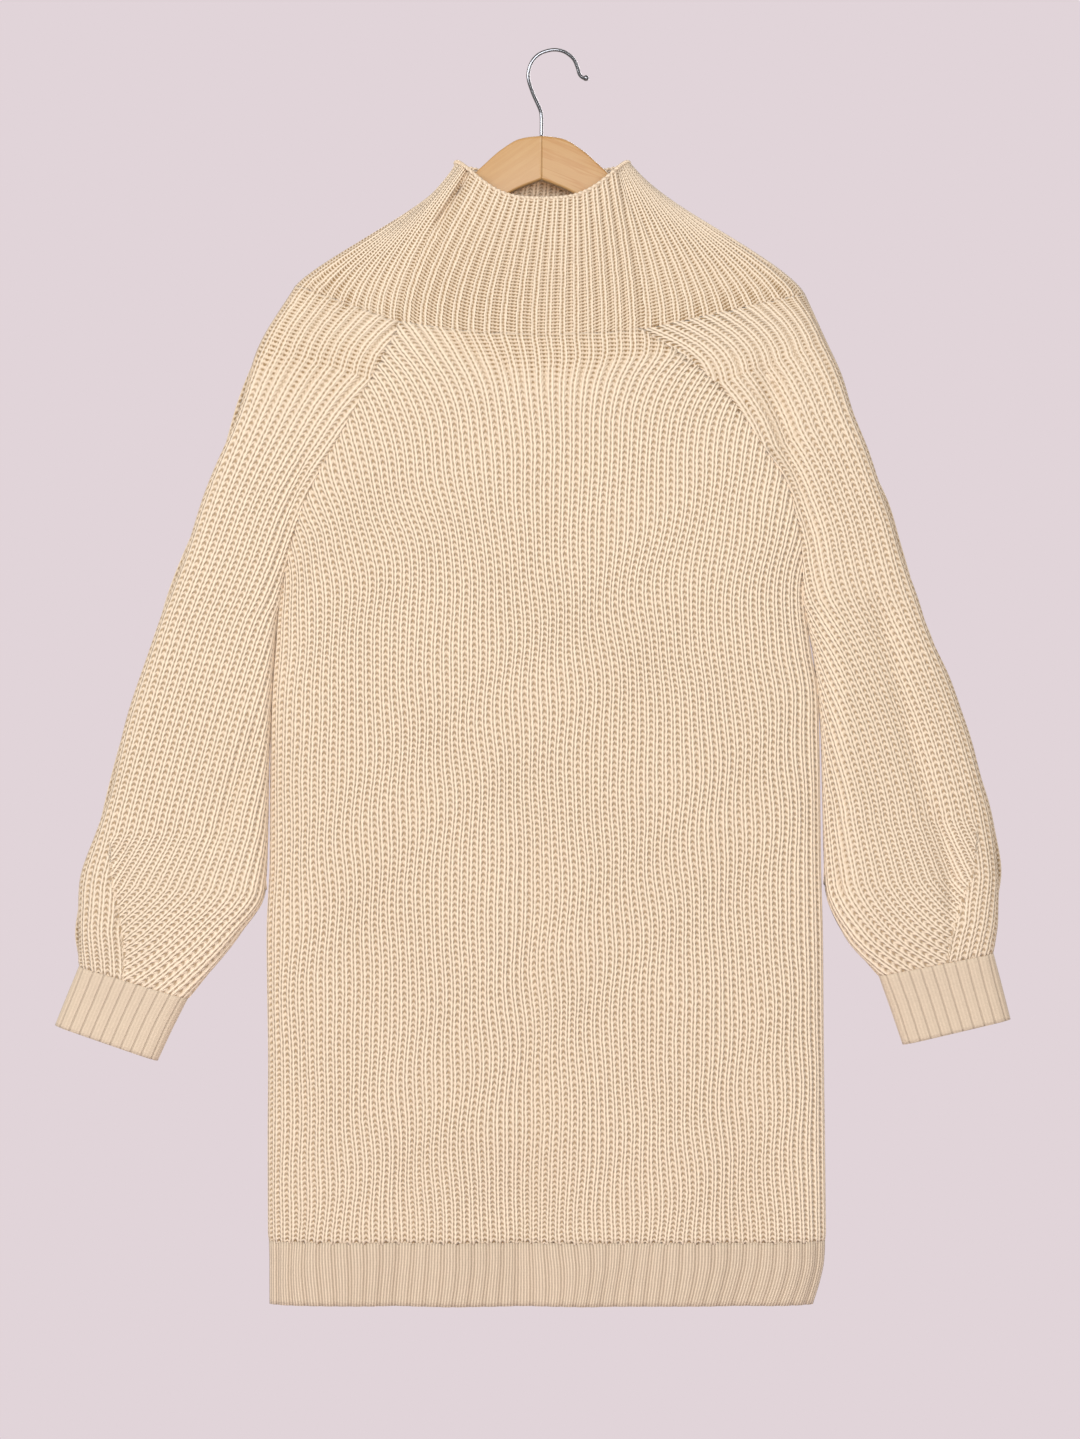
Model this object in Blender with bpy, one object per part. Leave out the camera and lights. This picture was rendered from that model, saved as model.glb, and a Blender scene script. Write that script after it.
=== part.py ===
"""A rib-knitted sweater dress with a funnel neck, hung flat on a wooden hanger.

Lengths in the tables are millimetres. X runs to the viewer's right, Z up, and the front faces -Y.
The origin is the underside of the hook's bow, where the hanger sits on its rail. Left and right
are the viewer's.
"""
import math

import bmesh
import bpy
import numpy as np

MM = 0.001

# The knitted cloth.
WALL = 2.3
RIB_RISE = 1.4
BAND_RISE = 1.1
SEAM = 0.3
HALF_SEAM = 0.15
YOKE_SEAM = 0.5
RAGLAN_SEAM = 1.0
FLATNESS = 8.0
CROWN_RIBS = 8
SHOULDER_RIBS = 6.0
BODY_RIBS = 32
SLEEVE_RIBS = 21
HEM_RIBS = 38
CUFF_RIBS = 22
YOKE_RIBS = 4 * CROWN_RIBS + 4 * SHOULDER_RIBS

# A band rib's section: how far across the rib, and how much of its height.
BAND_SECTION = ((0.0, 0.0), (0.3, 1.0), (0.7, 1.0))

# How finely a section is worked out before the ribs are laid on it.
ARC_STEPS = 240
FINE_LEVELS = 12
# The part of a raglan edge's stand-off that a thinner sleeve can take.
EDGE_LIMIT = 0.96
# Walls that lean nearly the same way at a seam are given one lean there.
LIKE_LEAN = 0.5
SEAM_REACH = 12.0

# Rows of points up each wall, as shares of the way from its lower edge (the yoke's from its rim), and
# the rows near a seam where the inside keeps every column. Elsewhere it keeps one column in a step.
BODY_ROWS = (0.0, 0.18, 0.36, 0.53, 0.68, 0.80, 0.89, 0.955, 1.0)
BODY_FINE_ROWS = (7, 8)
SLEEVE_ROWS = (0.0, 0.08, 0.18, 0.31, 0.45, 0.59, 0.72, 0.85, 0.94, 1.0)
SLEEVE_FINE_ROWS = (6, 7, 8, 9)
YOKE_ROWS = (0.0, 0.13, 0.30, 0.50, 0.70, 0.87, 1.0)
YOKE_FINE_ROWS = (6,)
PANEL_STEP = 6
TUBE_STEP = 5
YOKE_STEP = 4

# Front and back panels, from the yoke seam down to the hem: height and reach of the left and right
# edges, how far the row hangs in the middle, ribs left and right of the middle, half of the body's
# depth, and how far the cloth stands off the middle plane at its edges.
BODY_COLUMNS = ("z_left", "x_left", "z_right", "x_right", "middle", "sag", "ribs_left", "ribs_right",
                "depth", "edge")
BODY_LEVELS = (
    (-231.2, -128.3, -237.6, 74.8, -20.0, 8.0, 8.0, 8.0, 16.0, 15.0),
    (-254.2, -139.4, -256.5, 106.2, -17.0, 7.0, 11.0, 11.0, 16.6, 15.4),
    (-279.6, -153.0, -279.6, 135.2, -15.0, 6.0, 14.5, 16.0, 17.0, 15.5),
    (-309.4, -170.0, -309.4, 161.5, -13.0, 4.0, 18.0, 20.5, 17.4, 15.4),
    (-339.1, -186.2, -339.1, 181.0, -11.5, 3.0, 21.0, 23.7, 17.8, 15.0),
    (-369.8, -204.0, -369.8, 200.6, -11.0, 2.0, 24.0, 26.7, 18.0, 14.2),
    (-394.4, -214.2, -394.4, 207.4, -10.0, 1.0, 26.5, 28.2, 18.2, 12.6),
    (-419.9, -221.8, -419.9, 212.5, -9.0, 0.0, 29.0, 29.8, 18.4, 9.6),
    (-469.2, -231.6, -469.2, 214.2, -8.0, 0.0, 32.0, 32.0, 18.6, 0.0),
    (-509.1, -234.6, -509.1, 219.3, -7.0, 0.0, 32.0, 32.0, 18.8, 0.0),
    (-551.6, -237.6, -551.6, 225.7, -6.0, 0.0, 32.0, 32.0, 19.0, 0.0),
    (-611.1, -238.4, -611.1, 226.9, -5.5, 0.0, 32.0, 32.0, 19.0, 0.0),
    (-687.6, -238.8, -687.6, 227.8, -5.0, 0.0, 32.0, 32.0, 19.0, 0.0),
    (-755.6, -241.4, -755.6, 229.5, -4.5, 0.0, 32.0, 32.0, 19.2, 0.0),
    (-857.6, -240.1, -857.6, 230.3, -4.0, 0.0, 32.0, 32.0, 19.6, 0.0),
    (-925.6, -240.5, -925.6, 231.2, -4.0, 0.0, 32.0, 32.0, 19.8, 0.0),
    (-1010.6, -240.1, -1010.6, 232.0, -4.0, 0.0, 32.0, 32.0, 20.0, 0.0),
    (-1027.6, -239.7, -1027.6, 231.2, -4.0, 0.0, 32.0, 32.0, 20.0, 0.0),
    (-1044.6, -239.7, -1044.6, 227.8, -5.0, 0.0, 32.0, 32.0, 19.6, 0.0),
    (-1064.2, -239.7, -1064.2, 221.8, -7.0, 0.0, 32.0, 32.0, 19.0, 0.0),
)
UNDERARM_LEVEL = 8
BAND_LEVEL = 16
HEM_LEVEL = 19

# Sleeves, from the yoke seam down to the cuff seam: inner and outer edge seen from the front, ribs
# from the outer edge round to the inner one, and half of the depth.
SLEEVE_COLUMNS = ("x_in", "z_in", "x_out", "z_out", "ribs", "depth")
SLEEVE_LEVELS_LEFT = (
    (-130.0, -232.0, -217.6, -200.6, 6.0, 15.5),
    (-154.7, -280.5, -246.5, -249.9, 9.5, 16.5),
    (-187.8, -340.0, -271.1, -317.9, 10.8, 16.5),
    (-205.7, -370.6, -289.8, -368.1, 11.3, 16.5),
    (-223.5, -420.8, -308.6, -422.4, 12.2, 16.5),
    (-233.3, -472.6, -330.6, -476.8, 14.4, 16.5),
    (-238.0, -526.1, -347.6, -530.4, 16.2, 17.0),
    (-241.4, -602.6, -369.8, -604.4, 18.6, 17.5),
    (-242.4, -662.1, -386.8, -666.4, 20.3, 18.0),
    (-244.6, -713.1, -398.6, -708.9, 21.0, 18.0),
    (-266.9, -751.4, -402.1, -748.9, 21.0, 16.5),
    (-310.2, -804.9, -401.2, -777.8, 21.0, 11.0),
)
SLEEVE_LEVELS_RIGHT = (
    (76.5, -238.4, 215.0, -208.2, 6.0, 15.5),
    (140.2, -284.6, 232.9, -247.3, 9.5, 16.5),
    (182.8, -341.1, 254.2, -305.1, 10.3, 16.5),
    (202.3, -372.3, 271.1, -351.9, 10.8, 16.5),
    (213.8, -424.1, 290.7, -404.6, 11.8, 16.5),
    (216.3, -472.6, 310.2, -466.0, 13.6, 16.5),
    (224.0, -517.6, 329.8, -517.6, 15.8, 17.0),
    (230.2, -585.6, 354.4, -585.6, 18.8, 17.5),
    (231.8, -653.6, 373.1, -653.6, 20.8, 18.0),
    (233.4, -708.9, 380.8, -700.4, 21.0, 18.0),
    (249.9, -751.4, 377.4, -734.4, 21.0, 16.5),
    (278.8, -785.4, 374.8, -766.7, 21.0, 11.0),
)
SLEEVE_UNDERARM = 5
SLEEVE_END = 11

# Cuffs: inner and outer edge at the sleeve seam and at the open end.
CUFF_COLUMNS = ("x_in", "z_in", "x_out", "z_out", "depth")
CUFF_LEVELS_LEFT = (
    (-310.2, -804.9, -401.2, -777.8, 11.0),
    (-323.4, -831.0, -411.6, -802.9, 9.5),
    (-335.8, -857.6, -421.6, -827.9, 10.0),
)
CUFF_LEVELS_RIGHT = (
    (278.8, -785.4, 374.8, -766.7, 11.0),
    (289.2, -814.8, 382.2, -794.8, 9.5),
    (299.2, -844.0, 389.3, -822.8, 10.0),
)

# The funnel neck's open rim: an oval that dips in front.
RIM_MIDDLE_X = -8.1
RIM_HALF_WIDTH = 73.4
RIM_FRONT_DEPTH = 31.0
RIM_BACK_DEPTH = 26.0
RIM_SIDE_Z = -94.5
RIM_FRONT_DIP = 34.0
RIM_BACK_DIP = 5.0
RIM_FLATNESS = 2.8
RIM_CORNER = 0.86
RIM_BACK_REACH = 1.02
DIP_POWER = 3.0
DIP_SHARPNESS = 1.5
# How the cloth leaves the rim and meets the yoke seam, at the crown and out on the shoulder.
CROWN_DROP = -110.0
SHOULDER_COLUMNS = ("leave_x", "leave_z", "meet_x", "meet_z")
SHOULDER_LEFT = (-7.5, -98.9, -71.5, -80.9)
SHOULDER_RIGHT = (86.0, -119.9, 49.1, -92.2)
FULL_RISE_PITCH = 7.0
CROWN_LEAVE_FAN = 1.15
CROWN_MEET_FAN = 0.35

# Largest folds in the hung cloth: which face, half of the width, depth (a ridge is below zero), and
# the line that the fold follows.
FOLD_COLUMNS = ("face", "half_width", "depth", "line")
FOLDS = (
    ("front", 20.0, 3.2, ((-18.0, -640.0), (-20.0, -820.0), (-26.0, -1070.0))),
    ("front", 18.0, 2.8, ((-114.0, -850.0), (-124.0, -960.0), (-131.0, -1060.0))),
    ("front", 20.0, -2.4, ((-80.0, -900.0), (-84.0, -1060.0))),
    ("front", 20.0, -2.2, ((22.0, -830.0), (28.0, -1060.0))),
    ("front", 16.0, 2.0, ((-212.0, -800.0), (-214.0, -1010.0))),
    ("front", 24.0, 2.6, ((150.0, -500.0), (158.0, -760.0), (160.0, -1060.0))),
    ("front", 9.0, 3.6, ((-206.0, -330.0), (-222.0, -390.0), (-236.0, -470.0))),
    ("front", 10.0, 3.4, ((-246.0, -560.0), (-262.0, -610.0), (-284.0, -668.0))),
    ("front", 7.0, 3.0, ((-362.0, -680.0), (-364.0, -776.0))),
    ("front", 10.0, 5.2, ((176.0, -282.0), (204.0, -342.0), (222.0, -416.0), (232.0, -520.0),
                          (241.0, -640.0), (240.0, -712.0))),
    ("front", 13.0, 3.8, ((272.0, -450.0), (296.0, -552.0), (318.0, -640.0), (343.0, -722.0))),
    ("front", 5.0, 3.4, ((-68.0, -100.0), (-80.0, -126.0), (-95.0, -150.0))),
    ("back", 22.0, 3.0, ((-60.0, -560.0), (-52.0, -800.0), (-60.0, -1065.0))),
    ("back", 20.0, 2.8, ((92.0, -600.0), (100.0, -860.0), (108.0, -1065.0))),
    ("back", 18.0, -2.2, ((30.0, -760.0), (26.0, -1060.0))),
    ("back", 18.0, 2.4, ((-168.0, -620.0), (-176.0, -900.0), (-180.0, -1060.0))),
    ("back", 10.0, 4.0, ((-212.0, -350.0), (-236.0, -470.0), (-256.0, -600.0), (-262.0, -700.0))),
    ("back", 10.0, 4.0, ((196.0, -350.0), (226.0, -470.0), (250.0, -600.0), (258.0, -700.0))),
)
FOLD_FADE = 1.5
FULL_STAND_OFF = 16.0

# The wooden hanger: reach from the middle, top and bottom edge.
ARM_COLUMNS = ("reach", "top", "bottom")
TIP_START = 0.9
ARM_STATIONS = (
    (0.15, -72.2, -109.6),
    (9.0, -72.9, -113.0),
    (18.7, -74.8, -116.9),
    (34.0, -83.7, -125.0),
    (51.0, -98.6, -136.0),
    (62.0, -108.8, -142.8),
    (89.2, -125.6, -158.9),
    (123.2, -148.7, -176.8),
    (151.3, -167.5, -191.2),
    (168.0, -180.0, -198.9),
    (177.0, -188.8, -198.4),
    (180.2, -192.2, -196.0),
)
HANGER_X = -8.8
HANGER_THICKNESS = 12.0
TIP_THICKNESS = 8.0
EDGE_RADIUS = 2.6
EDGE_STEPS = 3

# The hook: a bent wire with a small ball at its end.
WIRE_RADIUS = 1.5
BALL_RADIUS = 2.5
BALL_TIP_RADIUS = 0.4
WIRE_SIDES = 8
WIRE_STEPS = 2
HOOK_PATH = (
    (-8.8, -71.9), (-8.8, -56.1), (-10.1, -49.0), (-16.5, -34.4), (-20.1, -21.2), (-17.7, -10.0),
    (-11.0, -2.2), (0.0, 1.5), (10.0, 0.2), (18.0, -5.6), (21.6, -12.8), (23.6, -19.2),
    (26.6, -22.2), (29.4, -22.4), (31.6, -22.3),
)

# Slot, colour and roughness of what each piece is made of.
FINISHES = {
    "knit": ((0.800, 0.640, 0.455, 1.0), 0.0, 0.92),
    "wood": ((0.640, 0.420, 0.215, 1.0), 0.0, 0.50),
    "wire": ((0.720, 0.720, 0.730, 1.0), 1.0, 0.18),
}


def clear_scene():
    for thing in list(bpy.data.objects):
        bpy.data.objects.remove(thing, do_unlink=True)


def finish_material(name):
    colour, metallic, roughness = FINISHES[name]
    material = bpy.data.materials.new(name)
    material.use_nodes = True
    shader = material.node_tree.nodes["Principled BSDF"]
    shader.inputs["Base Color"].default_value = colour
    shader.inputs["Metallic"].default_value = metallic
    shader.inputs["Roughness"].default_value = roughness
    return material


def through(at, knots, values):
    """A smooth curve through the values that never swings past them."""
    knots = np.asarray(knots, float)
    values = np.asarray(values, float)
    step = np.diff(knots)
    rise = np.diff(values) / step
    slope = np.empty_like(values)
    slope[0] = rise[0]
    slope[-1] = rise[-1]
    same_way = rise[:-1] * rise[1:] > 0.0
    total = np.where(same_way, rise[:-1] + rise[1:], 1.0)
    slope[1:-1] = np.where(same_way, 2.0 * rise[:-1] * rise[1:] / total, 0.0)
    place = np.clip(np.searchsorted(knots, at, side="right") - 1, 0, len(step) - 1)
    part = np.clip((at - knots[place]) / step[place], 0.0, 1.0)
    rest = 1.0 - part
    start = values[place] * (1.0 + 2.0 * part) * rest ** 2
    end = values[place + 1] * (1.0 + 2.0 * rest) * part ** 2
    bend = step[place] * part * rest * (slope[place] * rest - slope[place + 1] * part)
    return start + end + bend


def level_values(table, columns, level):
    """Every column of a level table, at levels that may lie between two rows."""
    rows = np.array(table, float)
    knots = np.arange(len(rows))
    return {name: through(level, knots, rows[:, at]) for at, name in enumerate(columns)}


def half_arc(half_width, depth, edge, flatness):
    """From the middle of a flat tube out to its edge, where the cloth stands at the edge depth."""
    shut = 1.0 - (edge / depth) ** 2
    turn = np.linspace(0.0, 1.0, ARC_STEPS) ** (flatness / 2.0) * math.asin(math.sqrt(shut))
    across = half_width * (np.sin(turn) ** 2 / shut) ** (1.0 / flatness)
    return across, depth * np.cos(turn)


def even_arc(across, out, count):
    """The same curve, with points evenly spaced along the cloth."""
    along = np.concatenate(([0.0], np.cumsum(np.hypot(np.diff(across), np.diff(out)))))
    wanted = np.linspace(0.0, along[-1], count)
    return np.interp(wanted, along, across), np.interp(wanted, along, out)


def look_up(table, row, part):
    """A value between the rows and columns of a table."""
    rows, columns = table.shape
    row = np.clip(row, 0.0, rows - 1.001)
    column = np.clip(part, 0.0, 1.0) * (columns - 1)
    column = np.clip(column, 0.0, columns - 1.0001)
    r = row.astype(int)
    c = column.astype(int)
    fr = row - r
    fc = column - c
    upper = table[r, c] * (1.0 - fc) + table[r, c + 1] * fc
    lower = table[r + 1, c] * (1.0 - fc) + table[r + 1, c + 1] * fc
    return upper * (1.0 - fr) + lower * fr


class Body:
    """The flattened tube of the front and back panels."""

    def __init__(self):
        self.levels = np.linspace(0.0, HEM_LEVEL, HEM_LEVEL * FINE_LEVELS + 1)
        self.at = level_values(BODY_LEVELS, BODY_COLUMNS, self.levels)
        self.across = {}
        self.out = {}
        for side in ("left", "right"):
            across = []
            out = []
            for i in range(len(self.levels)):
                width = abs(self.at["x_" + side][i] - self.at["middle"][i])
                arc = half_arc(width, self.at["depth"][i], self.at["edge"][i], FLATNESS)
                x, y = even_arc(arc[0], arc[1], ARC_STEPS)
                across.append(x)
                out.append(y)
            self.across[side] = np.array(across)
            self.out[side] = np.array(out)

    def value(self, name, level):
        return np.interp(level, self.levels, self.at[name])

    def level_of_height(self, z):
        return np.interp(-z, -self.at["z_left"], self.levels)

    def top_level(self, rib):
        """The level where each rib ends: at the yoke seam, or at a raglan seam."""
        armhole = self.levels <= UNDERARM_LEVEL
        left = np.interp(-rib, self.at["ribs_left"][armhole], self.levels[armhole])
        right = np.interp(rib, self.at["ribs_right"][armhole], self.levels[armhole])
        return np.where(rib < 0.0, left, right)

    def point(self, rib, level, face):
        """The place of a rib at a level; rib runs from the left edge to the right one."""
        ribs = np.where(rib < 0.0, self.value("ribs_left", level), self.value("ribs_right", level))
        part = np.clip(np.abs(rib) / ribs, 0.0, 1.0)
        row = level * FINE_LEVELS
        x = np.where(rib < 0.0, -look_up(self.across["left"], row, part),
                     look_up(self.across["right"], row, part)) + self.value("middle", level)
        out = np.where(rib < 0.0, look_up(self.out["left"], row, part),
                       look_up(self.out["right"], row, part))
        left = self.value("x_left", level)
        right = self.value("x_right", level)
        share = np.clip((x - left) / (right - left), 0.0, 1.0)
        z = self.value("z_left", level) * (1.0 - share) + self.value("z_right", level) * share
        z = z - self.value("sag", level) * 4.0 * share * (1.0 - share)
        y = face * np.maximum(out, HALF_SEAM)
        return np.stack(np.broadcast_arrays(x, y, z), axis=-1)

    def seam(self, side, z):
        """Reach and stand-off of a raglan seam at a height."""
        heights = self.at["z_" + side]
        return (np.interp(-z, -heights, self.at["x_" + side]),
                np.interp(-z, -heights, self.at["edge"]))


class Sleeve:
    """A sleeve's flattened tube; above the underarm it opens onto the two raglan seams."""

    def __init__(self, table, side, body):
        self.side = side
        self.levels = np.linspace(0.0, SLEEVE_END, SLEEVE_END * FINE_LEVELS + 1)
        self.at = level_values(table, SLEEVE_COLUMNS, self.levels)
        sign = -1.0 if side == "left" else 1.0
        seam_x, seam_edge = body.seam(side, self.at["z_in"])
        above = self.levels <= SLEEVE_UNDERARM
        self.at["x_in"] = np.where(above, seam_x + sign * RAGLAN_SEAM, self.at["x_in"])
        edge = np.where(above, seam_edge, 0.0)
        self.across = []
        self.out = []
        for i in range(len(self.levels)):
            width = math.hypot(self.at["x_out"][i] - self.at["x_in"][i],
                               self.at["z_out"][i] - self.at["z_in"][i])
            depth = self.at["depth"][i]
            outer = half_arc(width / 2.0, depth, 0.0, FLATNESS)
            inner = half_arc(width / 2.0, depth, min(edge[i], depth * EDGE_LIMIT), FLATNESS)
            across = np.concatenate((0.5 - outer[0][::-1] / width, 0.5 + inner[0][1:] / width))
            out = np.concatenate((outer[1][::-1], inner[1][1:]))
            x, y = even_arc(across * width, out, ARC_STEPS)
            self.across.append(x / width)
            self.out.append(y)
        self.across = np.array(self.across)
        self.out = np.array(self.out)
        middle_x = (self.at["x_in"] + self.at["x_out"]) / 2.0
        middle_z = (self.at["z_in"] + self.at["z_out"]) / 2.0
        steps = np.hypot(np.diff(middle_x), np.diff(middle_z))
        self.length = np.concatenate(([0.0], np.cumsum(steps)))

    def value(self, name, level):
        return np.interp(level, self.levels, self.at[name])

    def top_level(self, rib):
        rising = self.at["ribs"] + self.levels * 1e-6
        return np.interp(np.abs(rib), rising, self.levels)

    def point(self, rib, level):
        """The place of a rib at a level; ribs above zero are in front, zero is the outer edge."""
        part = np.clip(np.abs(rib) / self.value("ribs", level), 0.0, 1.0)
        row = level * FINE_LEVELS
        share = look_up(self.across, row, part)
        out = look_up(self.out, row, part)
        x = self.value("x_out", level) * (1.0 - share) + self.value("x_in", level) * share
        z = self.value("z_out", level) * (1.0 - share) + self.value("z_in", level) * share
        y = np.where(rib > 0.0, -1.0, 1.0) * out
        return np.stack(np.broadcast_arrays(x, y, z), axis=-1)


def fold_push(points):
    """Moves cloth towards the middle plane in troughs and away from it on ridges."""
    moved = points.copy()
    x = points[..., 0]
    z = points[..., 2]
    for face, half_width, depth, line in FOLDS:
        nearest = np.full(x.shape, np.inf)
        for (ax, az), (bx, bz) in zip(line[:-1], line[1:]):
            span = (bx - ax) ** 2 + (bz - az) ** 2
            part = np.clip(((x - ax) * (bx - ax) + (z - az) * (bz - az)) / span, 0.0, 1.0)
            away = np.hypot(x - ax - part * (bx - ax), z - az - part * (bz - az))
            nearest = np.minimum(nearest, away)
        side = -1.0 if face == "front" else 1.0
        out = np.clip(points[..., 1] * side / FULL_STAND_OFF, 0.0, 1.0) ** FOLD_FADE
        moved[..., 1] -= side * out * depth * np.exp(-(nearest / half_width) ** 2)
    return moved


def outward(points, closed):
    """Unit normals of a grid of points."""
    down = np.gradient(points, axis=0)
    if closed:
        wide = np.concatenate((points[:, -1:], points, points[:, :1]), axis=1)
        along = (wide[:, 2:] - wide[:, :-2]) / 2.0
    else:
        along = np.gradient(points, axis=1)
    normal = np.cross(along, down)
    return normal / np.maximum(np.linalg.norm(normal, axis=-1, keepdims=True), 1e-9)


class Wall:
    """A knitted wall: ribs on its outer points, a plain inside, and closed rims."""

    def __init__(self, name, base, rise, closed, keep, face=None):
        self.name = name
        self.base = base
        self.rise = rise
        self.closed = closed
        self.keep = keep
        self.normal = outward(base, closed)
        self.face = np.zeros(base.shape[:2]) if face is None else np.broadcast_to(face, base.shape[:2])

    def flip(self):
        self.normal = -self.normal
        return self

    def on_its_side(self, points):
        """Cloth of the front stays in front of the middle plane, and cloth of the back behind it."""
        y = points[..., 1]
        ahead = np.minimum(y, -HALF_SEAM)
        behind = np.maximum(y, HALF_SEAM)
        points[..., 1] = np.where(self.face < 0.0, ahead, np.where(self.face > 0.0, behind, y))
        return points

    def outer(self):
        return self.on_its_side(self.base + self.normal * self.rise[..., None])

    def inner(self):
        return self.on_its_side(self.base - self.normal * WALL)


def share_normals(first, first_row, second, second_row, reach):
    """Two walls that meet at a seam lean the same way there, so their rims stay parallel."""
    a = first.base[first_row]
    b = second.base[second_row]
    na = first.normal[first_row].copy()
    nb = second.normal[second_row].copy()
    apart = np.linalg.norm(a[:, None] - b[None], axis=-1)
    for_a = apart.argmin(axis=1)
    for_b = apart.argmin(axis=0)
    near_a = apart.min(axis=1) < reach
    near_b = apart.min(axis=0) < reach
    near_a &= (na * nb[for_a]).sum(axis=-1) > LIKE_LEAN
    near_b &= (nb * na[for_b]).sum(axis=-1) > LIKE_LEAN
    mixed_a = na + nb[for_a]
    mixed_b = nb + na[for_b]
    mixed_a /= np.maximum(np.linalg.norm(mixed_a, axis=-1, keepdims=True), 1e-6)
    mixed_b /= np.maximum(np.linalg.norm(mixed_b, axis=-1, keepdims=True), 1e-6)
    first.normal[first_row] = np.where(near_a[:, None], mixed_a, na)
    second.normal[second_row] = np.where(near_b[:, None], mixed_b, nb)


def strip(one, one_at, other, other_at):
    """Triangles between two lines of points that run the same way."""
    faces = []
    i = 0
    j = 0
    while i < len(one) - 1 or j < len(other) - 1:
        step_one = j == len(other) - 1
        if i < len(one) - 1 and j < len(other) - 1:
            step_one = one_at[i + 1] <= other_at[j + 1]
        if step_one:
            faces.append((one[i], one[i + 1], other[j]))
            i += 1
        else:
            faces.append((one[i], other[j + 1], other[j]))
            j += 1
    return faces


def wall_mesh(wall, fine_rows):
    """Points and faces of a wall. Inside rows listed as fine keep every column."""
    outer = wall.outer()
    inner = wall.inner()
    rows, columns = outer.shape[:2]
    points = [tuple(p) for p in outer.reshape(-1, 3)]
    every = list(range(columns))
    outer_rows = []
    inner_rows = []
    for r in range(rows):
        line = [r * columns + c for c in every]
        outer_rows.append(line + line[:1] if wall.closed else line)
    at_rows = []
    for r in range(rows):
        kept = every if r in fine_rows else wall.keep
        line = []
        for c in kept:
            line.append(len(points))
            points.append(tuple(inner[r, c]))
        at = list(kept)
        if wall.closed:
            line = line + line[:1]
            at = at + [columns]
        inner_rows.append(line)
        at_rows.append(at)
    every_at = every + [columns] if wall.closed else every
    faces = []
    for r in range(rows - 1):
        faces += strip(outer_rows[r], every_at, outer_rows[r + 1], every_at)
        faces += strip(inner_rows[r], at_rows[r], inner_rows[r + 1], at_rows[r + 1])
    for r in (0, rows - 1):
        faces += strip(outer_rows[r], every_at, inner_rows[r], at_rows[r])
    if not wall.closed:
        for c in (0, -1):
            outer_side = [line[c] for line in outer_rows]
            inner_side = [line[c] for line in inner_rows]
            faces += strip(outer_side, range(rows), inner_side, range(rows))
    return points, faces


def add_object(name, points, faces, material):
    """A closed mesh object whose faces point outwards."""
    mesh = bpy.data.meshes.new(name)
    mesh.from_pydata([(x * MM, y * MM, z * MM) for x, y, z in points], [], faces)
    work = bmesh.new()
    work.from_mesh(mesh)
    bmesh.ops.recalc_face_normals(work, faces=work.faces)
    if work.calc_volume(signed=True) < 0.0:
        bmesh.ops.reverse_faces(work, faces=work.faces)
    work.to_mesh(mesh)
    work.free()
    thing = bpy.data.objects.new(name, mesh)
    mesh.materials.append(material)
    bpy.context.scene.collection.objects.link(thing)
    return thing


def rib_rise(rib, rise):
    """Ribs peak halfway between two whole numbers."""
    return rise * np.abs((rib * 2.0) % 2.0)


def band_columns(ribs):
    """Places and heights of flat-topped band ribs: valley, crest, crest."""
    places = []
    heights = []
    for k in range(ribs):
        for part, height in BAND_SECTION:
            places.append((k + part) / ribs)
            heights.append(height)
    return np.array(places), np.array(heights)


def meet_raglan(points, ribs, sleeve, side, face):
    """Lays a panel's raglan edge along the sleeve's edge, a seam away from it."""
    edge = sleeve.base[-1][(np.sign(sleeve.ribs) == -face) & (np.abs(sleeve.ribs) >= SHOULDER_RIBS)]
    edge = edge[np.argsort(-edge[:, 2])]
    mine = (ribs * side > CROWN_RIBS - 0.25) & (np.abs(ribs) < BODY_RIBS)
    z = points[-1, mine, 2]
    points[-1, mine, 0] = np.interp(-z, -edge[:, 2], edge[:, 0]) - side * RAGLAN_SEAM
    points[-1, mine, 1] = np.interp(-z, -edge[:, 2], edge[:, 1])
    return points


def body_panel(name, body, sleeve_walls, face):
    ribs = np.arange(-BODY_RIBS, BODY_RIBS + 0.25, 0.5)
    top = body.top_level(ribs)
    rows = np.array(BODY_ROWS)
    low = body.at["z_left"][body.levels == BAND_LEVEL][0] + SEAM
    high = np.interp(top, body.levels, body.at["z_left"])
    z = low + (high - low) * rows[:, None]
    level = body.level_of_height(z)
    level[-1] = top
    points = fold_push(body.point(ribs[None, :], level, face))
    points = meet_raglan(points, ribs, sleeve_walls["left"], -1.0, face)
    points = meet_raglan(points, ribs, sleeve_walls["right"], 1.0, face)
    rise = np.broadcast_to(rib_rise(ribs, RIB_RISE), points.shape[:2]).copy()
    rise[:, 0] = 0.0
    rise[:, -1] = 0.0
    rise[-1, np.abs(ribs) > CROWN_RIBS] = 0.0
    count = len(ribs)
    last = count - 1
    keep = [0, 1, 2, 3] + list(range(5, last - 3, PANEL_STEP)) + [last - 3, last - 2, last - 1, last]
    wall = Wall(name, points, rise, False, keep, face)
    if wall.normal[5, count // 2, 1] * face < 0.0:
        wall.flip()
    return wall


def hem_band(name, body, face):
    places, heights = band_columns(HEM_RIBS)
    places = np.append(places, 1.0)
    heights = np.append(heights, 0.0)
    ribs = (places * 2.0 - 1.0) * BODY_RIBS
    level = np.array((BAND_LEVEL, (BAND_LEVEL + HEM_LEVEL) / 2.0, HEM_LEVEL))[:, None]
    points = fold_push(body.point(ribs[None, :], level, face))
    rise = np.broadcast_to(heights * BAND_RISE, points.shape[:2]).copy()
    count = len(ribs)
    last = count - 1
    keep = [0, 1, 2, 3] + list(range(6, last - 3, PANEL_STEP)) + [last - 2, last - 1, last]
    wall = Wall(name, points, rise, False, keep, face)
    if wall.normal[1, count // 2, 1] * face < 0.0:
        wall.flip()
    return wall


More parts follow.
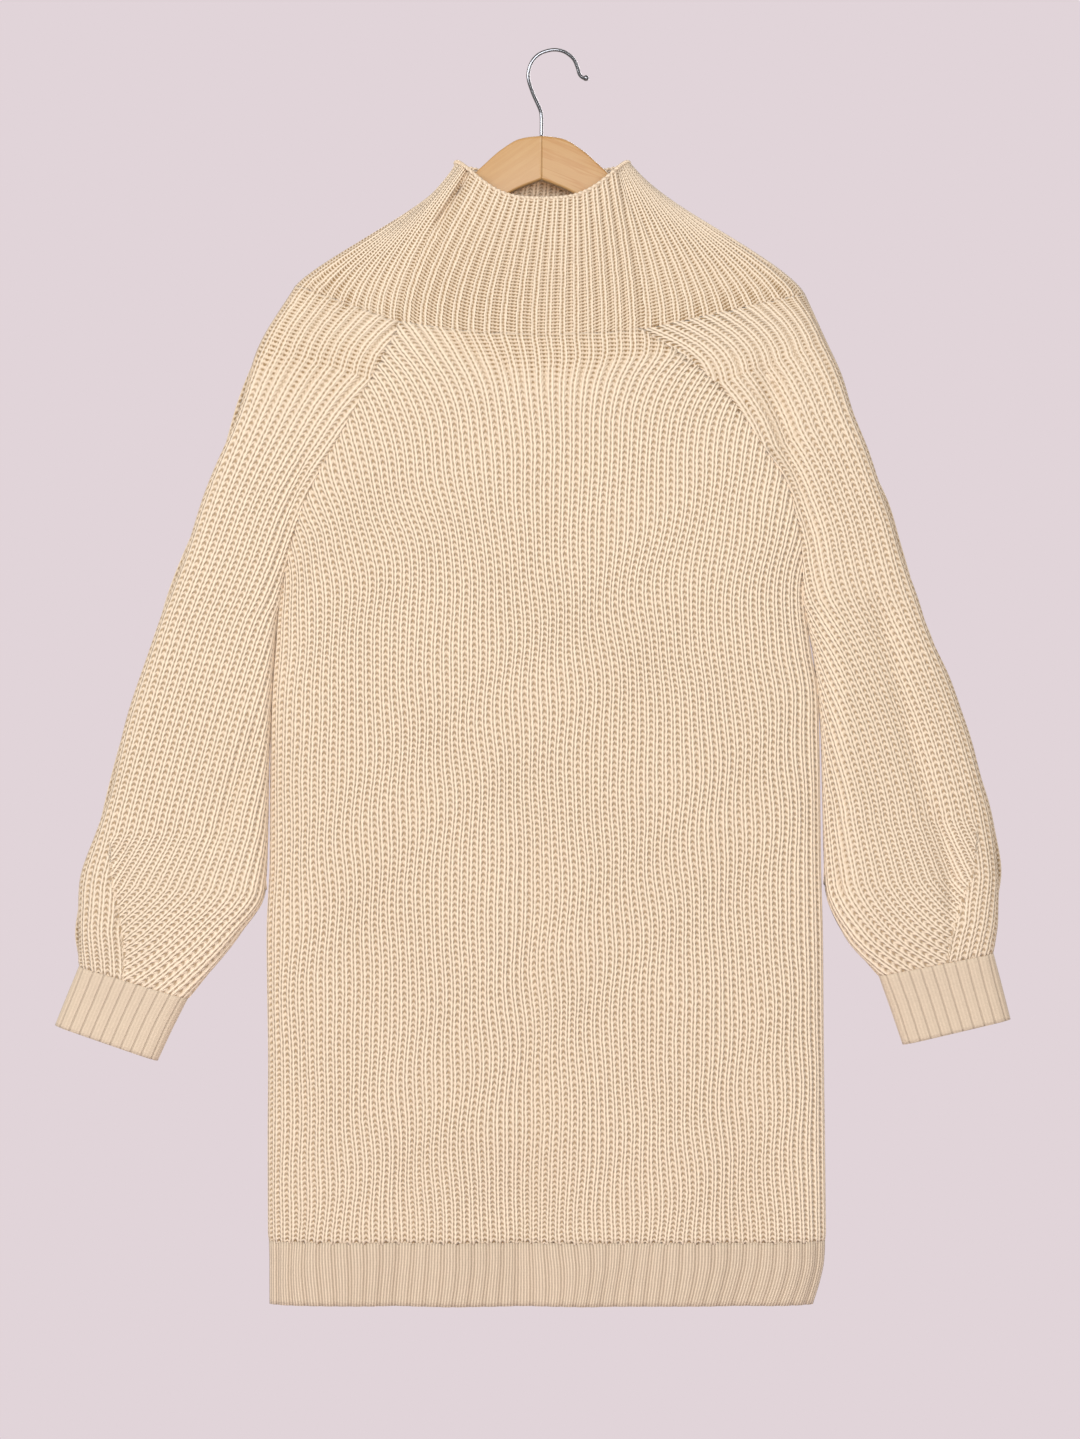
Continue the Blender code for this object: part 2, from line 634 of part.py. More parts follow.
def sleeve_wall(name, sleeve):
    ribs = np.arange(-SLEEVE_RIBS, SLEEVE_RIBS - 0.25, 0.5)
    top = sleeve.top_level(ribs)
    rows = np.array(SLEEVE_ROWS)
    end = sleeve.length[-1] - SEAM
    head = np.interp(top, sleeve.levels, sleeve.length)
    along = end + (head - end) * rows[:, None]
    level = np.interp(along, sleeve.length, sleeve.levels)
    level[-1] = top
    points = sleeve.point(ribs[None, :], level)
    points = fold_push(points)
    slit = np.abs(points[-1, :, 1]) < HALF_SEAM
    slit[0] = False
    points[-1, slit, 1] = np.where(ribs[slit] > 0.0, -HALF_SEAM, HALF_SEAM)
    rise = np.broadcast_to(rib_rise(ribs, RIB_RISE), points.shape[:2]).copy()
    rise[:, 0] = 0.0
    rise[-1, np.abs(ribs) > SHOULDER_RIBS] = 0.0
    count = len(ribs)
    middle = count // 2
    keep = sorted({0, 1, 2, middle - 1, middle, middle + 1, count - 2, count - 1}
                  | set(range(5, count - 3, TUBE_STEP)))
    side = np.zeros(points.shape[:2])
    side[-1] = np.where(slit, np.where(ribs > 0.0, -1.0, 1.0), 0.0)
    wall = Wall(name, points, rise, True, keep, side)
    wall.ribs = ribs
    front = np.argmin(np.abs(ribs - SLEEVE_RIBS / 2.0))
    if wall.normal[4, front, 1] > 0.0:
        wall.flip()
    return wall


def tube_point(values, share_round, flatness):
    """A flat tube's point: share_round runs from the outer edge over the front and back again."""
    share_round = share_round % 1.0
    front = share_round < 0.5
    part = np.where(front, share_round * 2.0, 2.0 - share_round * 2.0)
    rows = []
    for i in range(len(values["x_in"])):
        width = math.hypot(values["x_out"][i] - values["x_in"][i],
                           values["z_out"][i] - values["z_in"][i])
        arc = half_arc(width / 2.0, values["depth"][i], 0.0, flatness)
        across = np.concatenate((0.5 - arc[0][::-1] / width, 0.5 + arc[0][1:] / width))
        out = np.concatenate((arc[1][::-1], arc[1][1:]))
        x, y = even_arc(across * width, out, ARC_STEPS)
        at = np.linspace(0.0, 1.0, ARC_STEPS)
        share = np.interp(part, at, x / width)
        rows.append(np.stack((
            values["x_out"][i] * (1.0 - share) + values["x_in"][i] * share,
            np.where(front, -1.0, 1.0) * np.interp(part, at, y),
            values["z_out"][i] * (1.0 - share) + values["z_in"][i] * share), axis=-1))
    return np.array(rows)


def cuff_wall(name, table):
    places, heights = band_columns(CUFF_RIBS)
    levels = np.arange(len(table), dtype=float)
    values = level_values(table, CUFF_COLUMNS, levels)
    points = tube_point(values, places, FLATNESS)
    away = points[1] - points[0]
    away /= np.linalg.norm(away, axis=-1, keepdims=True)
    points[0] += away * HALF_SEAM
    rise = np.broadcast_to(heights * BAND_RISE, points.shape[:2]).copy()
    count = len(places)
    half = count // 2
    keep = sorted({0, 1, 2, half - 1, half, half + 1, count - 2, count - 1}
                  | set(range(4, count - 2, TUBE_STEP)))
    wall = Wall(name, points, rise, True, keep)
    front = count // 4
    if wall.normal[1, front, 1] > 0.0:
        wall.flip()
    return wall


def rim_point(place):
    """The neck rim at a place round the yoke: 0 is the front middle, ribs count to the right."""
    span = YOKE_RIBS
    turn = np.linspace(-math.pi, math.pi, ARC_STEPS * 4 + 1)
    power = 2.0 / RIM_FLATNESS
    x = RIM_HALF_WIDTH * np.sign(np.sin(turn)) * np.abs(np.sin(turn)) ** power
    depth = np.where(np.cos(turn) > 0.0, RIM_FRONT_DEPTH, RIM_BACK_DEPTH)
    y = -depth * np.sign(np.cos(turn)) * np.abs(np.cos(turn)) ** power
    along = np.concatenate(([0.0], np.cumsum(np.hypot(np.diff(x), np.diff(y)))))
    front = y <= 0.0
    corner = RIM_CORNER * RIM_HALF_WIDTH
    front_left = np.interp(-corner, x[front], along[front])
    front_right = np.interp(corner, x[front], along[front])
    middle = along[-1] / 2.0
    back = middle - (front_right - middle) * RIM_BACK_REACH
    marks = (-span / 2.0, -CROWN_RIBS - 2.0 * SHOULDER_RIBS, -CROWN_RIBS, CROWN_RIBS,
             CROWN_RIBS + 2.0 * SHOULDER_RIBS, span / 2.0)
    lengths = (0.0, middle - back, front_left, front_right, middle + back, along[-1])
    wrapped = (place + span / 2.0) % span - span / 2.0
    wanted = np.interp(wrapped, marks, lengths)
    px = np.interp(wanted, along, x)
    py = np.interp(wanted, along, y)
    share = np.clip(np.abs(px) / RIM_HALF_WIDTH, 0.0, 1.0)
    dip = np.where(py < 0.0, RIM_FRONT_DIP, RIM_BACK_DIP)
    pz = RIM_SIDE_Z - dip * (1.0 - share ** DIP_POWER) ** DIP_SHARPNESS
    return np.stack((px + RIM_MIDDLE_X, py, pz), axis=-1)


def yoke_seam(body, sleeves, place):
    """The yoke seam's loop: over the front, a shoulder, the back and the other shoulder."""
    span = YOKE_RIBS
    wrapped = (place + span / 2.0) % span - span / 2.0
    points = np.zeros((len(place), 3))
    zero = np.zeros(1)
    for i, at in enumerate(wrapped):
        if abs(at) <= CROWN_RIBS:
            points[i] = body.point(np.array([at]), zero, -1.0)[0]
        elif abs(at) >= CROWN_RIBS + 2.0 * SHOULDER_RIBS:
            rib = math.copysign(span / 2.0 - abs(at), at)
            points[i] = body.point(np.array([rib]), zero, 1.0)[0]
        else:
            rib = CROWN_RIBS + SHOULDER_RIBS - abs(at)
            side = "left" if at < 0.0 else "right"
            points[i] = sleeves[side].point(np.array([rib]), zero)[0]
    return points


def yoke_points(body, sleeves, place):
    """The yoke's wales: each leaves the rim one way, bends, and meets the yoke seam another way."""
    rim = rim_point(place)
    seam = yoke_seam(body, sleeves, place)
    wrapped = (place + YOKE_RIBS / 2.0) % YOKE_RIBS - YOKE_RIBS / 2.0
    side = np.sign(wrapped)
    edge = CROWN_RIBS + SHOULDER_RIBS
    shoulder = np.clip(1.0 - np.abs(np.abs(wrapped) - edge) / SHOULDER_RIBS, 0.0, 1.0)
    shoulder = shoulder ** 2 * (3.0 - 2.0 * shoulder)
    spread = seam[:, 0] - rim[:, 0]
    zero = np.zeros_like(spread)
    crown_leave = np.stack((spread * CROWN_LEAVE_FAN, zero, zero + CROWN_DROP), axis=-1)
    crown_meet = np.stack((spread * CROWN_MEET_FAN, zero, zero + CROWN_DROP), axis=-1)
    arm = np.where(side[:, None] < 0.0, SHOULDER_LEFT, SHOULDER_RIGHT)
    arm_leave = np.stack((arm[:, 0], zero, arm[:, 1]), axis=-1)
    arm_meet = np.stack((arm[:, 2], zero, arm[:, 3]), axis=-1)
    leave = crown_leave * (1.0 - shoulder[:, None]) + arm_leave * shoulder[:, None]
    meet = crown_meet * (1.0 - shoulder[:, None]) + arm_meet * shoulder[:, None]
    seam = seam - meet / np.linalg.norm(meet, axis=-1, keepdims=True) * YOKE_SEAM
    v = np.array(YOKE_ROWS)[:, None, None]
    rest = 1.0 - v
    return (rim * (1.0 + 2.0 * v) * rest ** 2 + seam * (1.0 + 2.0 * rest) * v ** 2
            + leave * v * rest ** 2 - meet * v ** 2 * rest)


def yoke_wall(name, body, sleeves):
    place = np.arange(0.0, YOKE_RIBS - 0.25, 0.5)
    points = fold_push(yoke_points(body, sleeves, place))
    pitch = np.linalg.norm(np.roll(points, -1, axis=1) - np.roll(points, 1, axis=1), axis=-1)
    rise = rib_rise(place, RIB_RISE) * np.clip(pitch / FULL_RISE_PITCH, 0.0, 1.0)
    count = len(place)
    left = int(2 * (CROWN_RIBS + SHOULDER_RIBS))
    right = count - left
    keep = sorted(set(range(0, count, YOKE_STEP)) | {left - 2, left, left + 2}
                  | {right - 2, right, right + 2})
    wall = Wall(name, points, rise, True, keep)
    if wall.normal[3, 0, 1] > 0.0:
        wall.flip()
    return wall


def rounded_section(top, bottom, thickness):
    """A rounded rectangle round the middle plane, as (y, z) points."""
    radius = min(EDGE_RADIUS, (top - bottom) * 0.45, thickness * 0.45)
    corners = ((1, 1, 0.0), (-1, 1, 90.0), (-1, -1, 180.0), (1, -1, 270.0))
    points = []
    for side, up, start in corners:
        y = side * (thickness / 2.0 - radius)
        z = (top + bottom) / 2.0 + up * ((top - bottom) / 2.0 - radius)
        for k in range(EDGE_STEPS):
            turn = math.radians(start + 90.0 * k / (EDGE_STEPS - 1))
            points.append((y + radius * math.cos(turn), z + radius * math.sin(turn)))
    return points


def tube_faces(rings, count):
    faces = []
    for r in range(rings - 1):
        for c in range(count):
            n = (c + 1) % count
            faces.append((r * count + c, r * count + n, (r + 1) * count + n, (r + 1) * count + c))
    faces.append(tuple(range(count)))
    faces.append(tuple((rings - 1) * count + c for c in range(count)))
    return faces


def hanger_arm(name, side, material):
    points = []
    count = 4 * EDGE_STEPS
    reach_end = ARM_STATIONS[-1][0]
    for reach, top, bottom in ARM_STATIONS:
        slim = max(0.0, (reach / reach_end - TIP_START) / (1.0 - TIP_START))
        thickness = HANGER_THICKNESS + (TIP_THICKNESS - HANGER_THICKNESS) * slim
        for y, z in rounded_section(top, bottom, thickness):
            points.append((HANGER_X + side * reach, y, z))
    return add_object(name, points, tube_faces(len(ARM_STATIONS), count), material)


def hook(name, material):
    path = np.array(HOOK_PATH)
    knots = np.arange(len(path))
    fine = np.linspace(0.0, len(path) - 1.0, (len(path) - 1) * WIRE_STEPS + 1)
    before = np.concatenate((path[:1] * 2.0 - path[1:2], path[:-1]))
    after = np.concatenate((path[1:], path[-1:] * 2.0 - path[-2:-1]))
    slope = (after - before) / 2.0
    place = np.clip(fine.astype(int), 0, len(path) - 2)
    part = (fine - knots[place])[:, None]
    rest = 1.0 - part
    line = (path[place] * (1.0 + 2.0 * part) * rest ** 2
            + path[place + 1] * (1.0 + 2.0 * rest) * part ** 2
            + slope[place] * part * rest ** 2 - slope[place + 1] * part ** 2 * rest)
    along = np.gradient(line, axis=0)
    along /= np.linalg.norm(along, axis=-1, keepdims=True)
    run = np.concatenate(([0.0], np.cumsum(np.linalg.norm(np.diff(line, axis=0), axis=-1))))
    from_end = run[-1] - run
    ball = np.sqrt(np.clip(BALL_RADIUS ** 2 - (from_end - BALL_RADIUS) ** 2, BALL_TIP_RADIUS ** 2, None))
    radius = np.where(from_end < 2.0 * BALL_RADIUS, ball, WIRE_RADIUS)
    radius = np.where(from_end > BALL_RADIUS, np.maximum(radius, WIRE_RADIUS), radius)
    turn = np.linspace(0.0, 2.0 * math.pi, WIRE_SIDES, endpoint=False)
    points = []
    for (x, z), (dx, dz), r in zip(line, along, radius):
        for angle in turn:
            sideways = r * math.cos(angle)
            points.append((x - dz * sideways, r * math.sin(angle), z + dx * sideways))
    return add_object(name, points, tube_faces(len(line), WIRE_SIDES), material)


def build():
    clear_scene()
    knit = finish_material("knit")
    wood = finish_material("wood")
    wire = finish_material("wire")
    body = Body()
    sleeves = {"left": Sleeve(SLEEVE_LEVELS_LEFT, "left", body),
               "right": Sleeve(SLEEVE_LEVELS_RIGHT, "right", body)}
    left = sleeve_wall("sleeve_left", sleeves["left"])
    right = sleeve_wall("sleeve_right", sleeves["right"])
    sleeve_walls = {"left": left, "right": right}
    front = body_panel("body_front", body, sleeve_walls, -1.0)
    back = body_panel("body_back", body, sleeve_walls, 1.0)
    hem_front = hem_band("hem_front", body, -1.0)
    hem_back = hem_band("hem_back", body, 1.0)
    cuff_left = cuff_wall("cuff_left", CUFF_LEVELS_LEFT)
    cuff_right = cuff_wall("cuff_right", CUFF_LEVELS_RIGHT)
    yoke = yoke_wall("yoke", body, sleeves)
    near = SEAM_REACH
    share_normals(left, -1, front, -1, near)
    share_normals(left, -1, back, -1, near)
    share_normals(right, -1, front, -1, near)
    share_normals(right, -1, back, -1, near)
    share_normals(front, 0, hem_front, 0, near)
    share_normals(back, 0, hem_back, 0, near)
    share_normals(left, 0, cuff_left, 0, near)
    share_normals(right, 0, cuff_right, 0, near)
    share_normals(yoke, -1, left, -1, near)
    share_normals(yoke, -1, right, -1, near)
    share_normals(yoke, -1, front, -1, near)
    share_normals(yoke, -1, back, -1, near)
    for wall, fine in ((front, BODY_FINE_ROWS), (back, BODY_FINE_ROWS), (hem_front, ()),
                       (hem_back, ()), (left, SLEEVE_FINE_ROWS), (right, SLEEVE_FINE_ROWS),
                       (cuff_left, ()), (cuff_right, ()), (yoke, YOKE_FINE_ROWS)):
        points, faces = wall_mesh(wall, fine)
        add_object(wall.name, points, faces, knit)
    hanger_arm("hanger_arm_left", -1.0, wood)
    hanger_arm("hanger_arm_right", 1.0, wood)
    hook("hook", wire)


build()
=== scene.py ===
"""A rib-knitted sweater dress with a funnel neck, hung flat on a wooden hanger.

Lengths in the tables are millimetres: X runs to the viewer's right, Z up, and the front faces -Y.
The origin is the underside of the hook's bow. Left and right are the viewer's.
"""
import math

import bpy
import numpy as np
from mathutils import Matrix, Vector


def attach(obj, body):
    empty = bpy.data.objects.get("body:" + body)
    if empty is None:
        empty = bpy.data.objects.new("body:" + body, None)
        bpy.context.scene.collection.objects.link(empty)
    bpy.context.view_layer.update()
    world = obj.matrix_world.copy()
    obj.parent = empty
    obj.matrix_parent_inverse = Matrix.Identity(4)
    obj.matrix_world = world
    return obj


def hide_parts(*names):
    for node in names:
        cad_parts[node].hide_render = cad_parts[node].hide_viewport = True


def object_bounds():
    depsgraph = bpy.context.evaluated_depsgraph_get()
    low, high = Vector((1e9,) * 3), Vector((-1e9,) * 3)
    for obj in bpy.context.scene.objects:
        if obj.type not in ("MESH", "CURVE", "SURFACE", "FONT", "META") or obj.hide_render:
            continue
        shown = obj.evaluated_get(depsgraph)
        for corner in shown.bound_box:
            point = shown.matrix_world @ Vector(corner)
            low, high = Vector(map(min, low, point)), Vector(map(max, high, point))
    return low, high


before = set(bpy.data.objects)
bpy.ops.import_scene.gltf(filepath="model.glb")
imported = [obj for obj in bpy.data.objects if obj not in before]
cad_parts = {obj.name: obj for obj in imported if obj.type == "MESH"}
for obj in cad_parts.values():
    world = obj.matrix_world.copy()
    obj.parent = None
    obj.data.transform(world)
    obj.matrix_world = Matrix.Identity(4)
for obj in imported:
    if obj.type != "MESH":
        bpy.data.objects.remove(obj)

bl_info = {
    "name": "Sweater dress on a hanger",
    "version": (1, 0, 0),
    "blender": (4, 5, 0),
    "location": "3D View > Sidebar > Sweater Dress",
    "description": "Makes the knitted cloth, wooden hanger and wire hook of a sweater dress",
    "category": "Object",
}

CAD_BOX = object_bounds()
MM = 0.001

# The cloth's form. It is that of the solids, but the yoke's ribs meet the seam at another slant,
# and the folds are a little deeper, narrower and softer at their start.
FLATNESS = 8.0
HALF_SEAM = 0.15
EDGE_LIMIT = 0.96
ARC_STEPS = 240
FINE_LEVELS = 12
CROWN_RIBS = 8
SHOULDER_RIBS = 6.0
BODY_RIBS = 32
SLEEVE_RIBS = 21
HEM_RIBS = 38
CUFF_RIBS = 22
YOKE_RIBS = 4 * CROWN_RIBS + 4 * SHOULDER_RIBS

# Front and back panels, from the yoke seam down to the hem.
BODY_COLUMNS = ("z_left", "x_left", "z_right", "x_right", "middle", "sag", "ribs_left",
                "ribs_right", "depth", "edge")
BODY_LEVELS = (
    (-231.2, -128.3, -237.6, 74.8, -20.0, 8.0, 8.0, 8.0, 16.0, 15.0),
    (-254.2, -139.4, -256.5, 106.2, -17.0, 7.0, 10.6, 10.8, 16.6, 15.4),
    (-279.6, -153.0, -279.6, 135.2, -15.0, 6.0, 14.2, 15.6, 17.0, 15.5),
    (-309.4, -170.0, -309.4, 161.5, -13.0, 4.0, 18.0, 20.5, 17.4, 15.4),
    (-339.1, -186.2, -339.1, 181.0, -11.5, 3.0, 21.0, 23.7, 17.8, 15.0),
    (-369.8, -204.0, -369.8, 200.6, -11.0, 2.0, 24.0, 26.7, 18.0, 14.2),
    (-394.4, -214.2, -394.4, 207.4, -10.0, 1.0, 26.5, 28.2, 18.2, 12.6),
    (-419.9, -221.8, -419.9, 212.5, -9.0, 0.0, 29.0, 29.8, 18.4, 9.6),
    (-469.2, -231.6, -469.2, 214.2, -8.0, 0.0, 32.0, 32.0, 18.6, 0.0),
    (-509.1, -234.6, -509.1, 219.3, -7.0, 0.0, 32.0, 32.0, 18.8, 0.0),
    (-551.6, -237.6, -551.6, 225.7, -6.0, 0.0, 32.0, 32.0, 19.0, 0.0),
    (-611.1, -238.4, -611.1, 226.9, -5.5, 0.0, 32.0, 32.0, 19.0, 0.0),
    (-687.6, -238.8, -687.6, 227.8, -5.0, 0.0, 32.0, 32.0, 19.0, 0.0),
    (-755.6, -241.4, -755.6, 229.5, -4.5, 0.0, 32.0, 32.0, 19.2, 0.0),
    (-857.6, -240.1, -857.6, 230.3, -4.0, 0.0, 32.0, 32.0, 19.6, 0.0),
    (-925.6, -240.5, -925.6, 231.2, -4.0, 0.0, 32.0, 32.0, 19.8, 0.0),
    (-1010.6, -240.1, -1010.6, 232.0, -4.0, 0.0, 32.0, 32.0, 20.0, 0.0),
    (-1027.6, -239.7, -1027.6, 231.2, -4.0, 0.0, 32.0, 32.0, 20.0, 0.0),
    (-1044.6, -239.7, -1044.6, 227.8, -5.0, 0.0, 32.0, 32.0, 19.6, 0.0),
    (-1064.2, -239.7, -1064.2, 221.8, -7.0, 0.0, 32.0, 32.0, 19.0, 0.0),
)
UNDERARM_LEVEL = 8
BAND_LEVEL = 16
HEM_LEVEL = 19

# Sleeves, from the yoke seam down to the cuff seam.
SLEEVE_COLUMNS = ("x_in", "z_in", "x_out", "z_out", "ribs", "depth")
SLEEVE_LEVELS_LEFT = (
    (-130.0, -232.0, -217.6, -200.6, 6.0, 15.5),
    (-154.7, -280.5, -246.5, -249.9, 9.5, 16.5),
    (-187.8, -340.0, -271.1, -317.9, 11.0, 16.5),
    (-205.7, -370.6, -289.8, -368.1, 11.4, 16.5),
    (-223.5, -420.8, -308.6, -422.4, 12.2, 16.5),
    (-233.3, -472.6, -330.6, -476.8, 14.4, 16.5),
    (-238.0, -526.1, -347.6, -530.4, 16.2, 17.0),
    (-241.4, -602.6, -369.8, -604.4, 18.6, 17.5),
    (-242.4, -662.1, -386.8, -666.4, 20.3, 18.0),
    (-244.6, -713.1, -398.6, -708.9, 21.0, 18.0),
    (-266.9, -751.4, -402.1, -748.9, 21.0, 16.5),
    (-310.2, -804.9, -401.2, -777.8, 21.0, 11.0),
)
SLEEVE_LEVELS_RIGHT = (
    (76.5, -238.4, 215.0, -208.2, 6.0, 15.5),
    (140.2, -284.6, 232.9, -247.3, 9.0, 16.5),
    (182.8, -341.1, 254.2, -305.1, 10.0, 16.5),
    (202.3, -372.3, 271.1, -351.9, 10.4, 16.5),
    (213.8, -424.1, 290.7, -404.6, 11.4, 16.5),
    (216.3, -472.6, 310.2, -466.0, 13.4, 16.5),
    (224.0, -517.6, 329.8, -517.6, 15.8, 17.0),
    (230.2, -585.6, 354.4, -585.6, 18.8, 17.5),
    (231.8, -653.6, 373.1, -653.6, 20.8, 18.0),
    (233.4, -708.9, 380.8, -700.4, 21.0, 18.0),
    (249.9, -751.4, 377.4, -734.4, 21.0, 16.5),
    (278.8, -785.4, 374.8, -766.7, 21.0, 11.0),
)
SLEEVE_UNDERARM = 5
SLEEVE_END = 11

# Cuffs, at the sleeve seam and at the open end.
CUFF_COLUMNS = ("x_in", "z_in", "x_out", "z_out", "depth")
CUFF_LEVELS_LEFT = (
    (-310.2, -804.9, -401.2, -777.8, 11.0),
    (-323.4, -831.0, -411.6, -802.9, 9.5),
    (-335.8, -857.6, -421.6, -827.9, 10.0),
)
CUFF_LEVELS_RIGHT = (
    (278.8, -785.4, 374.8, -766.7, 11.0),
    (289.2, -814.8, 382.2, -794.8, 9.5),
    (299.2, -844.0, 389.3, -822.8, 10.0),
)

# The funnel neck's open rim, and how the cloth leaves it and meets the yoke seam.
RIM_MIDDLE_X = -8.1
RIM_HALF_WIDTH = 73.4
RIM_FRONT_DEPTH = 31.0
RIM_BACK_DEPTH = 26.0
RIM_SIDE_Z = -94.5
RIM_FRONT_DIP = 34.0
RIM_BACK_DIP = 5.0
RIM_FLATNESS = 2.8
RIM_CORNER = 0.86
RIM_BACK_REACH = 1.02
DIP_POWER = 3.0
DIP_SHARPNESS = 1.5
CROWN_DROP = -110.0
CROWN_LEAVE_FAN = 1.15
CROWN_MEET_FAN = -0.15
# Over a shoulder a wale leaves the rim by so much across and up, and meets the seam by so much.
SHOULDER_LEFT = (-7.5, -98.9, -71.5, -80.9)
SHOULDER_RIGHT = (86.0, -119.9, 49.1, -92.2)

# Distances between ribs: where the yoke's ribs stand out in full, the least and the most that
# count, the cloth at rest and stretched, where stitches begin to be pulled open, over how much,
# and the most.
FULL_RISE_PITCH = 7.0
PITCH_LIMITS = (4.0, 26.0)
REST_PITCH = 8.8
STRETCHED_PITCH = 11.3
OPENING_PITCH = 11.0
OPENING_REACH = 12.0
OPENING_LIMIT = 0.6

# Height of one course of stitches: in the panels at a height, in the sleeves at a level, and in the
# yoke and the bands.
PANEL_COURSES = ((-1080.0, 3.9), (-1000.0, 4.0), (-900.0, 4.8), (-760.0, 5.1), (-480.0, 5.1),
                 (-330.0, 5.3), (-290.0, 4.6), (-255.0, 3.4), (-225.0, 2.8))
SLEEVE_COURSES = ((0.0, 2.8), (0.5, 3.2), (1.3, 4.6), (2.0, 5.1), (11.0, 5.1))
YOKE_COURSE = 2.8
BAND_COURSE = 2.4

# A rib's section across half of its pitch, from its middle out to the valley: share of the full
# rise.
COLUMNS_PER_RIB = 8
RIB_SECTION = ((0.0, 0.72), (0.125, 0.92), (0.25, 1.0), (0.375, 0.50), (0.5, 0.0))
BAND_SECTION = ((0.0, 0.90), (0.125, 1.0), (0.25, 0.92), (0.375, 0.25), (0.5, 0.0))
CUFF_SECTION = ((0.0, 1.0), (0.125, 0.98), (0.25, 0.94), (0.375, 0.82), (0.5, 0.4))
# Rows of points up each piece; the inside keeps one row in a step.
PANEL_ROWS = 169
SLEEVE_ROWS = 169
YOKE_ROWS = 73
HEM_ROWS = 13
CUFF_ROWS = 17
INNER_STEP = 12

# Folds and creases: which face, half of the width, depth (a ridge is below zero), and the line.
FOLDS = (
    ("front", 17.0, 4.4, ((-18.0, -640.0), (-20.0, -820.0), (-26.0, -1070.0))),
    ("front", 14.0, 3.8, ((-114.0, -850.0), (-124.0, -960.0), (-131.0, -1060.0))),
    ("front", 18.0, -3.2, ((-80.0, -900.0), (-84.0, -1060.0))),
    ("front", 18.0, -3.0, ((22.0, -830.0), (28.0, -1060.0))),
    ("front", 13.0, 2.8, ((-212.0, -800.0), (-214.0, -1010.0))),
    ("front", 20.0, 3.4, ((150.0, -500.0), (158.0, -760.0), (160.0, -1060.0))),
    ("front", 8.0, 4.2, ((-206.0, -330.0), (-222.0, -390.0), (-236.0, -470.0))),
    ("front", 9.0, 4.4, ((-246.0, -560.0), (-262.0, -610.0), (-284.0, -668.0))),
    ("front", 7.0, 3.2, ((-362.0, -680.0), (-364.0, -776.0))),
    ("front", 9.5, 5.6, ((174.0, -252.0), (196.0, -318.0), (216.0, -400.0), (230.0, -520.0),
                         (240.0, -640.0), (240.0, -712.0))),
    ("front", 11.0, 4.6, ((272.0, -450.0), (296.0, -552.0), (318.0, -640.0), (343.0, -722.0))),
    ("front", 5.0, 3.6, ((-68.0, -100.0), (-80.0, -126.0), (-95.0, -150.0))),
    ("back", 18.0, 4.0, ((-60.0, -560.0), (-52.0, -800.0), (-60.0, -1065.0))),
    ("back", 16.0, 3.8, ((92.0, -600.0), (100.0, -860.0), (108.0, -1065.0))),
    ("back", 16.0, -3.0, ((30.0, -760.0), (26.0, -1060.0))),
    ("back", 15.0, 3.4, ((-168.0, -620.0), (-176.0, -900.0), (-180.0, -1060.0))),
    ("back", 9.0, 5.0, ((-212.0, -350.0), (-236.0, -470.0), (-256.0, -600.0), (-262.0, -700.0))),
    ("back", 9.0, 5.0, ((196.0, -350.0), (226.0, -470.0), (250.0, -600.0), (258.0, -700.0))),
)
FOLD_FADE = 1.5
# A fold longer than this deepens over so many half widths from its upper end.
LONG_FOLD = 100.0
FOLD_START = 4.0
FULL_STAND_OFF = 16.0
# Small creases that only the cloth's surface has, listed as the folds are.
CREASES = (
    ("front", 2.6, 4.4, ((-69.0, -101.0), (-79.0, -121.0), (-96.0, -144.0))),
    ("front", 3.5, 1.5, ((-203.0, -186.0), (-186.0, -204.0), (-172.0, -222.0))),
    ("front", 3.0, 1.3, ((-214.0, -196.0), (-196.0, -214.0), (-184.0, -232.0))),
    ("front", 3.5, -1.2, ((-209.0, -190.0), (-191.0, -209.0), (-178.0, -227.0))),
    ("front", 4.0, 1.2, ((-218.0, -214.0), (-202.0, -228.0), (-192.0, -246.0))),
    ("front", 26.0, -1.6, ((-190.0, -900.0), (-60.0, -915.0), (70.0, -925.0))),
    ("front", 30.0, 1.8, ((-180.0, -965.0), (-70.0, -985.0), (10.0, -1000.0))),
    ("front", 12.0, 1.6, ((-262.0, -596.0), (-290.0, -640.0), (-330.0, -676.0))),
    ("front", 10.0, 1.4, ((-240.0, -470.0), (-262.0, -540.0), (-296.0, -600.0))),
    ("front", 12.0, 1.4, ((262.0, -610.0), (292.0, -668.0), (330.0, -705.0))),
    ("front", 6.0, 2.0, ((326.0, -640.0), (338.0, -700.0), (339.0, -760.0))),
    ("front", 4.0, 1.6, ((58.0, -106.0), (66.0, -132.0), (84.0, -160.0))),
    ("back", 26.0, 1.4, ((-150.0, -930.0), (0.0, -945.0), (160.0, -925.0))),
    ("back", 10.0, 1.6, ((-300.0, -560.0), (-330.0, -640.0), (-356.0, -720.0))),
    ("back", 12.0, 1.6, ((280.0, -540.0), (310.0, -630.0), (338.0, -720.0))),
)
# Waves along the cloth: how far the ribs wander, and the wave's length across, up, and where it
# starts. The surface swells by a share of how far they wander, in waves of its own length.
WAVES = ((1.3, 260.0, 190.0, 0.4), (0.8, -150.0, 118.0, 2.1), (0.6, 97.0, -83.0, 4.0))
SWELL = 0.25
SWELL_TURN = 0.7
# Where the cloth is free to wave: ribs in from a panel's edge, or from a sleeve's outer edge, along
# which alone it waves; the level where that starts; and over how many levels.
PANEL_FREE_RIBS = 5.0
PANEL_FREE_START = -0.5
PANEL_FREE_LEVELS = 8.0
SLEEVE_FREE_RIBS = 3.0
SLEEVE_FREE_START = -0.01
SLEEVE_FREE_LEVELS = 2.0
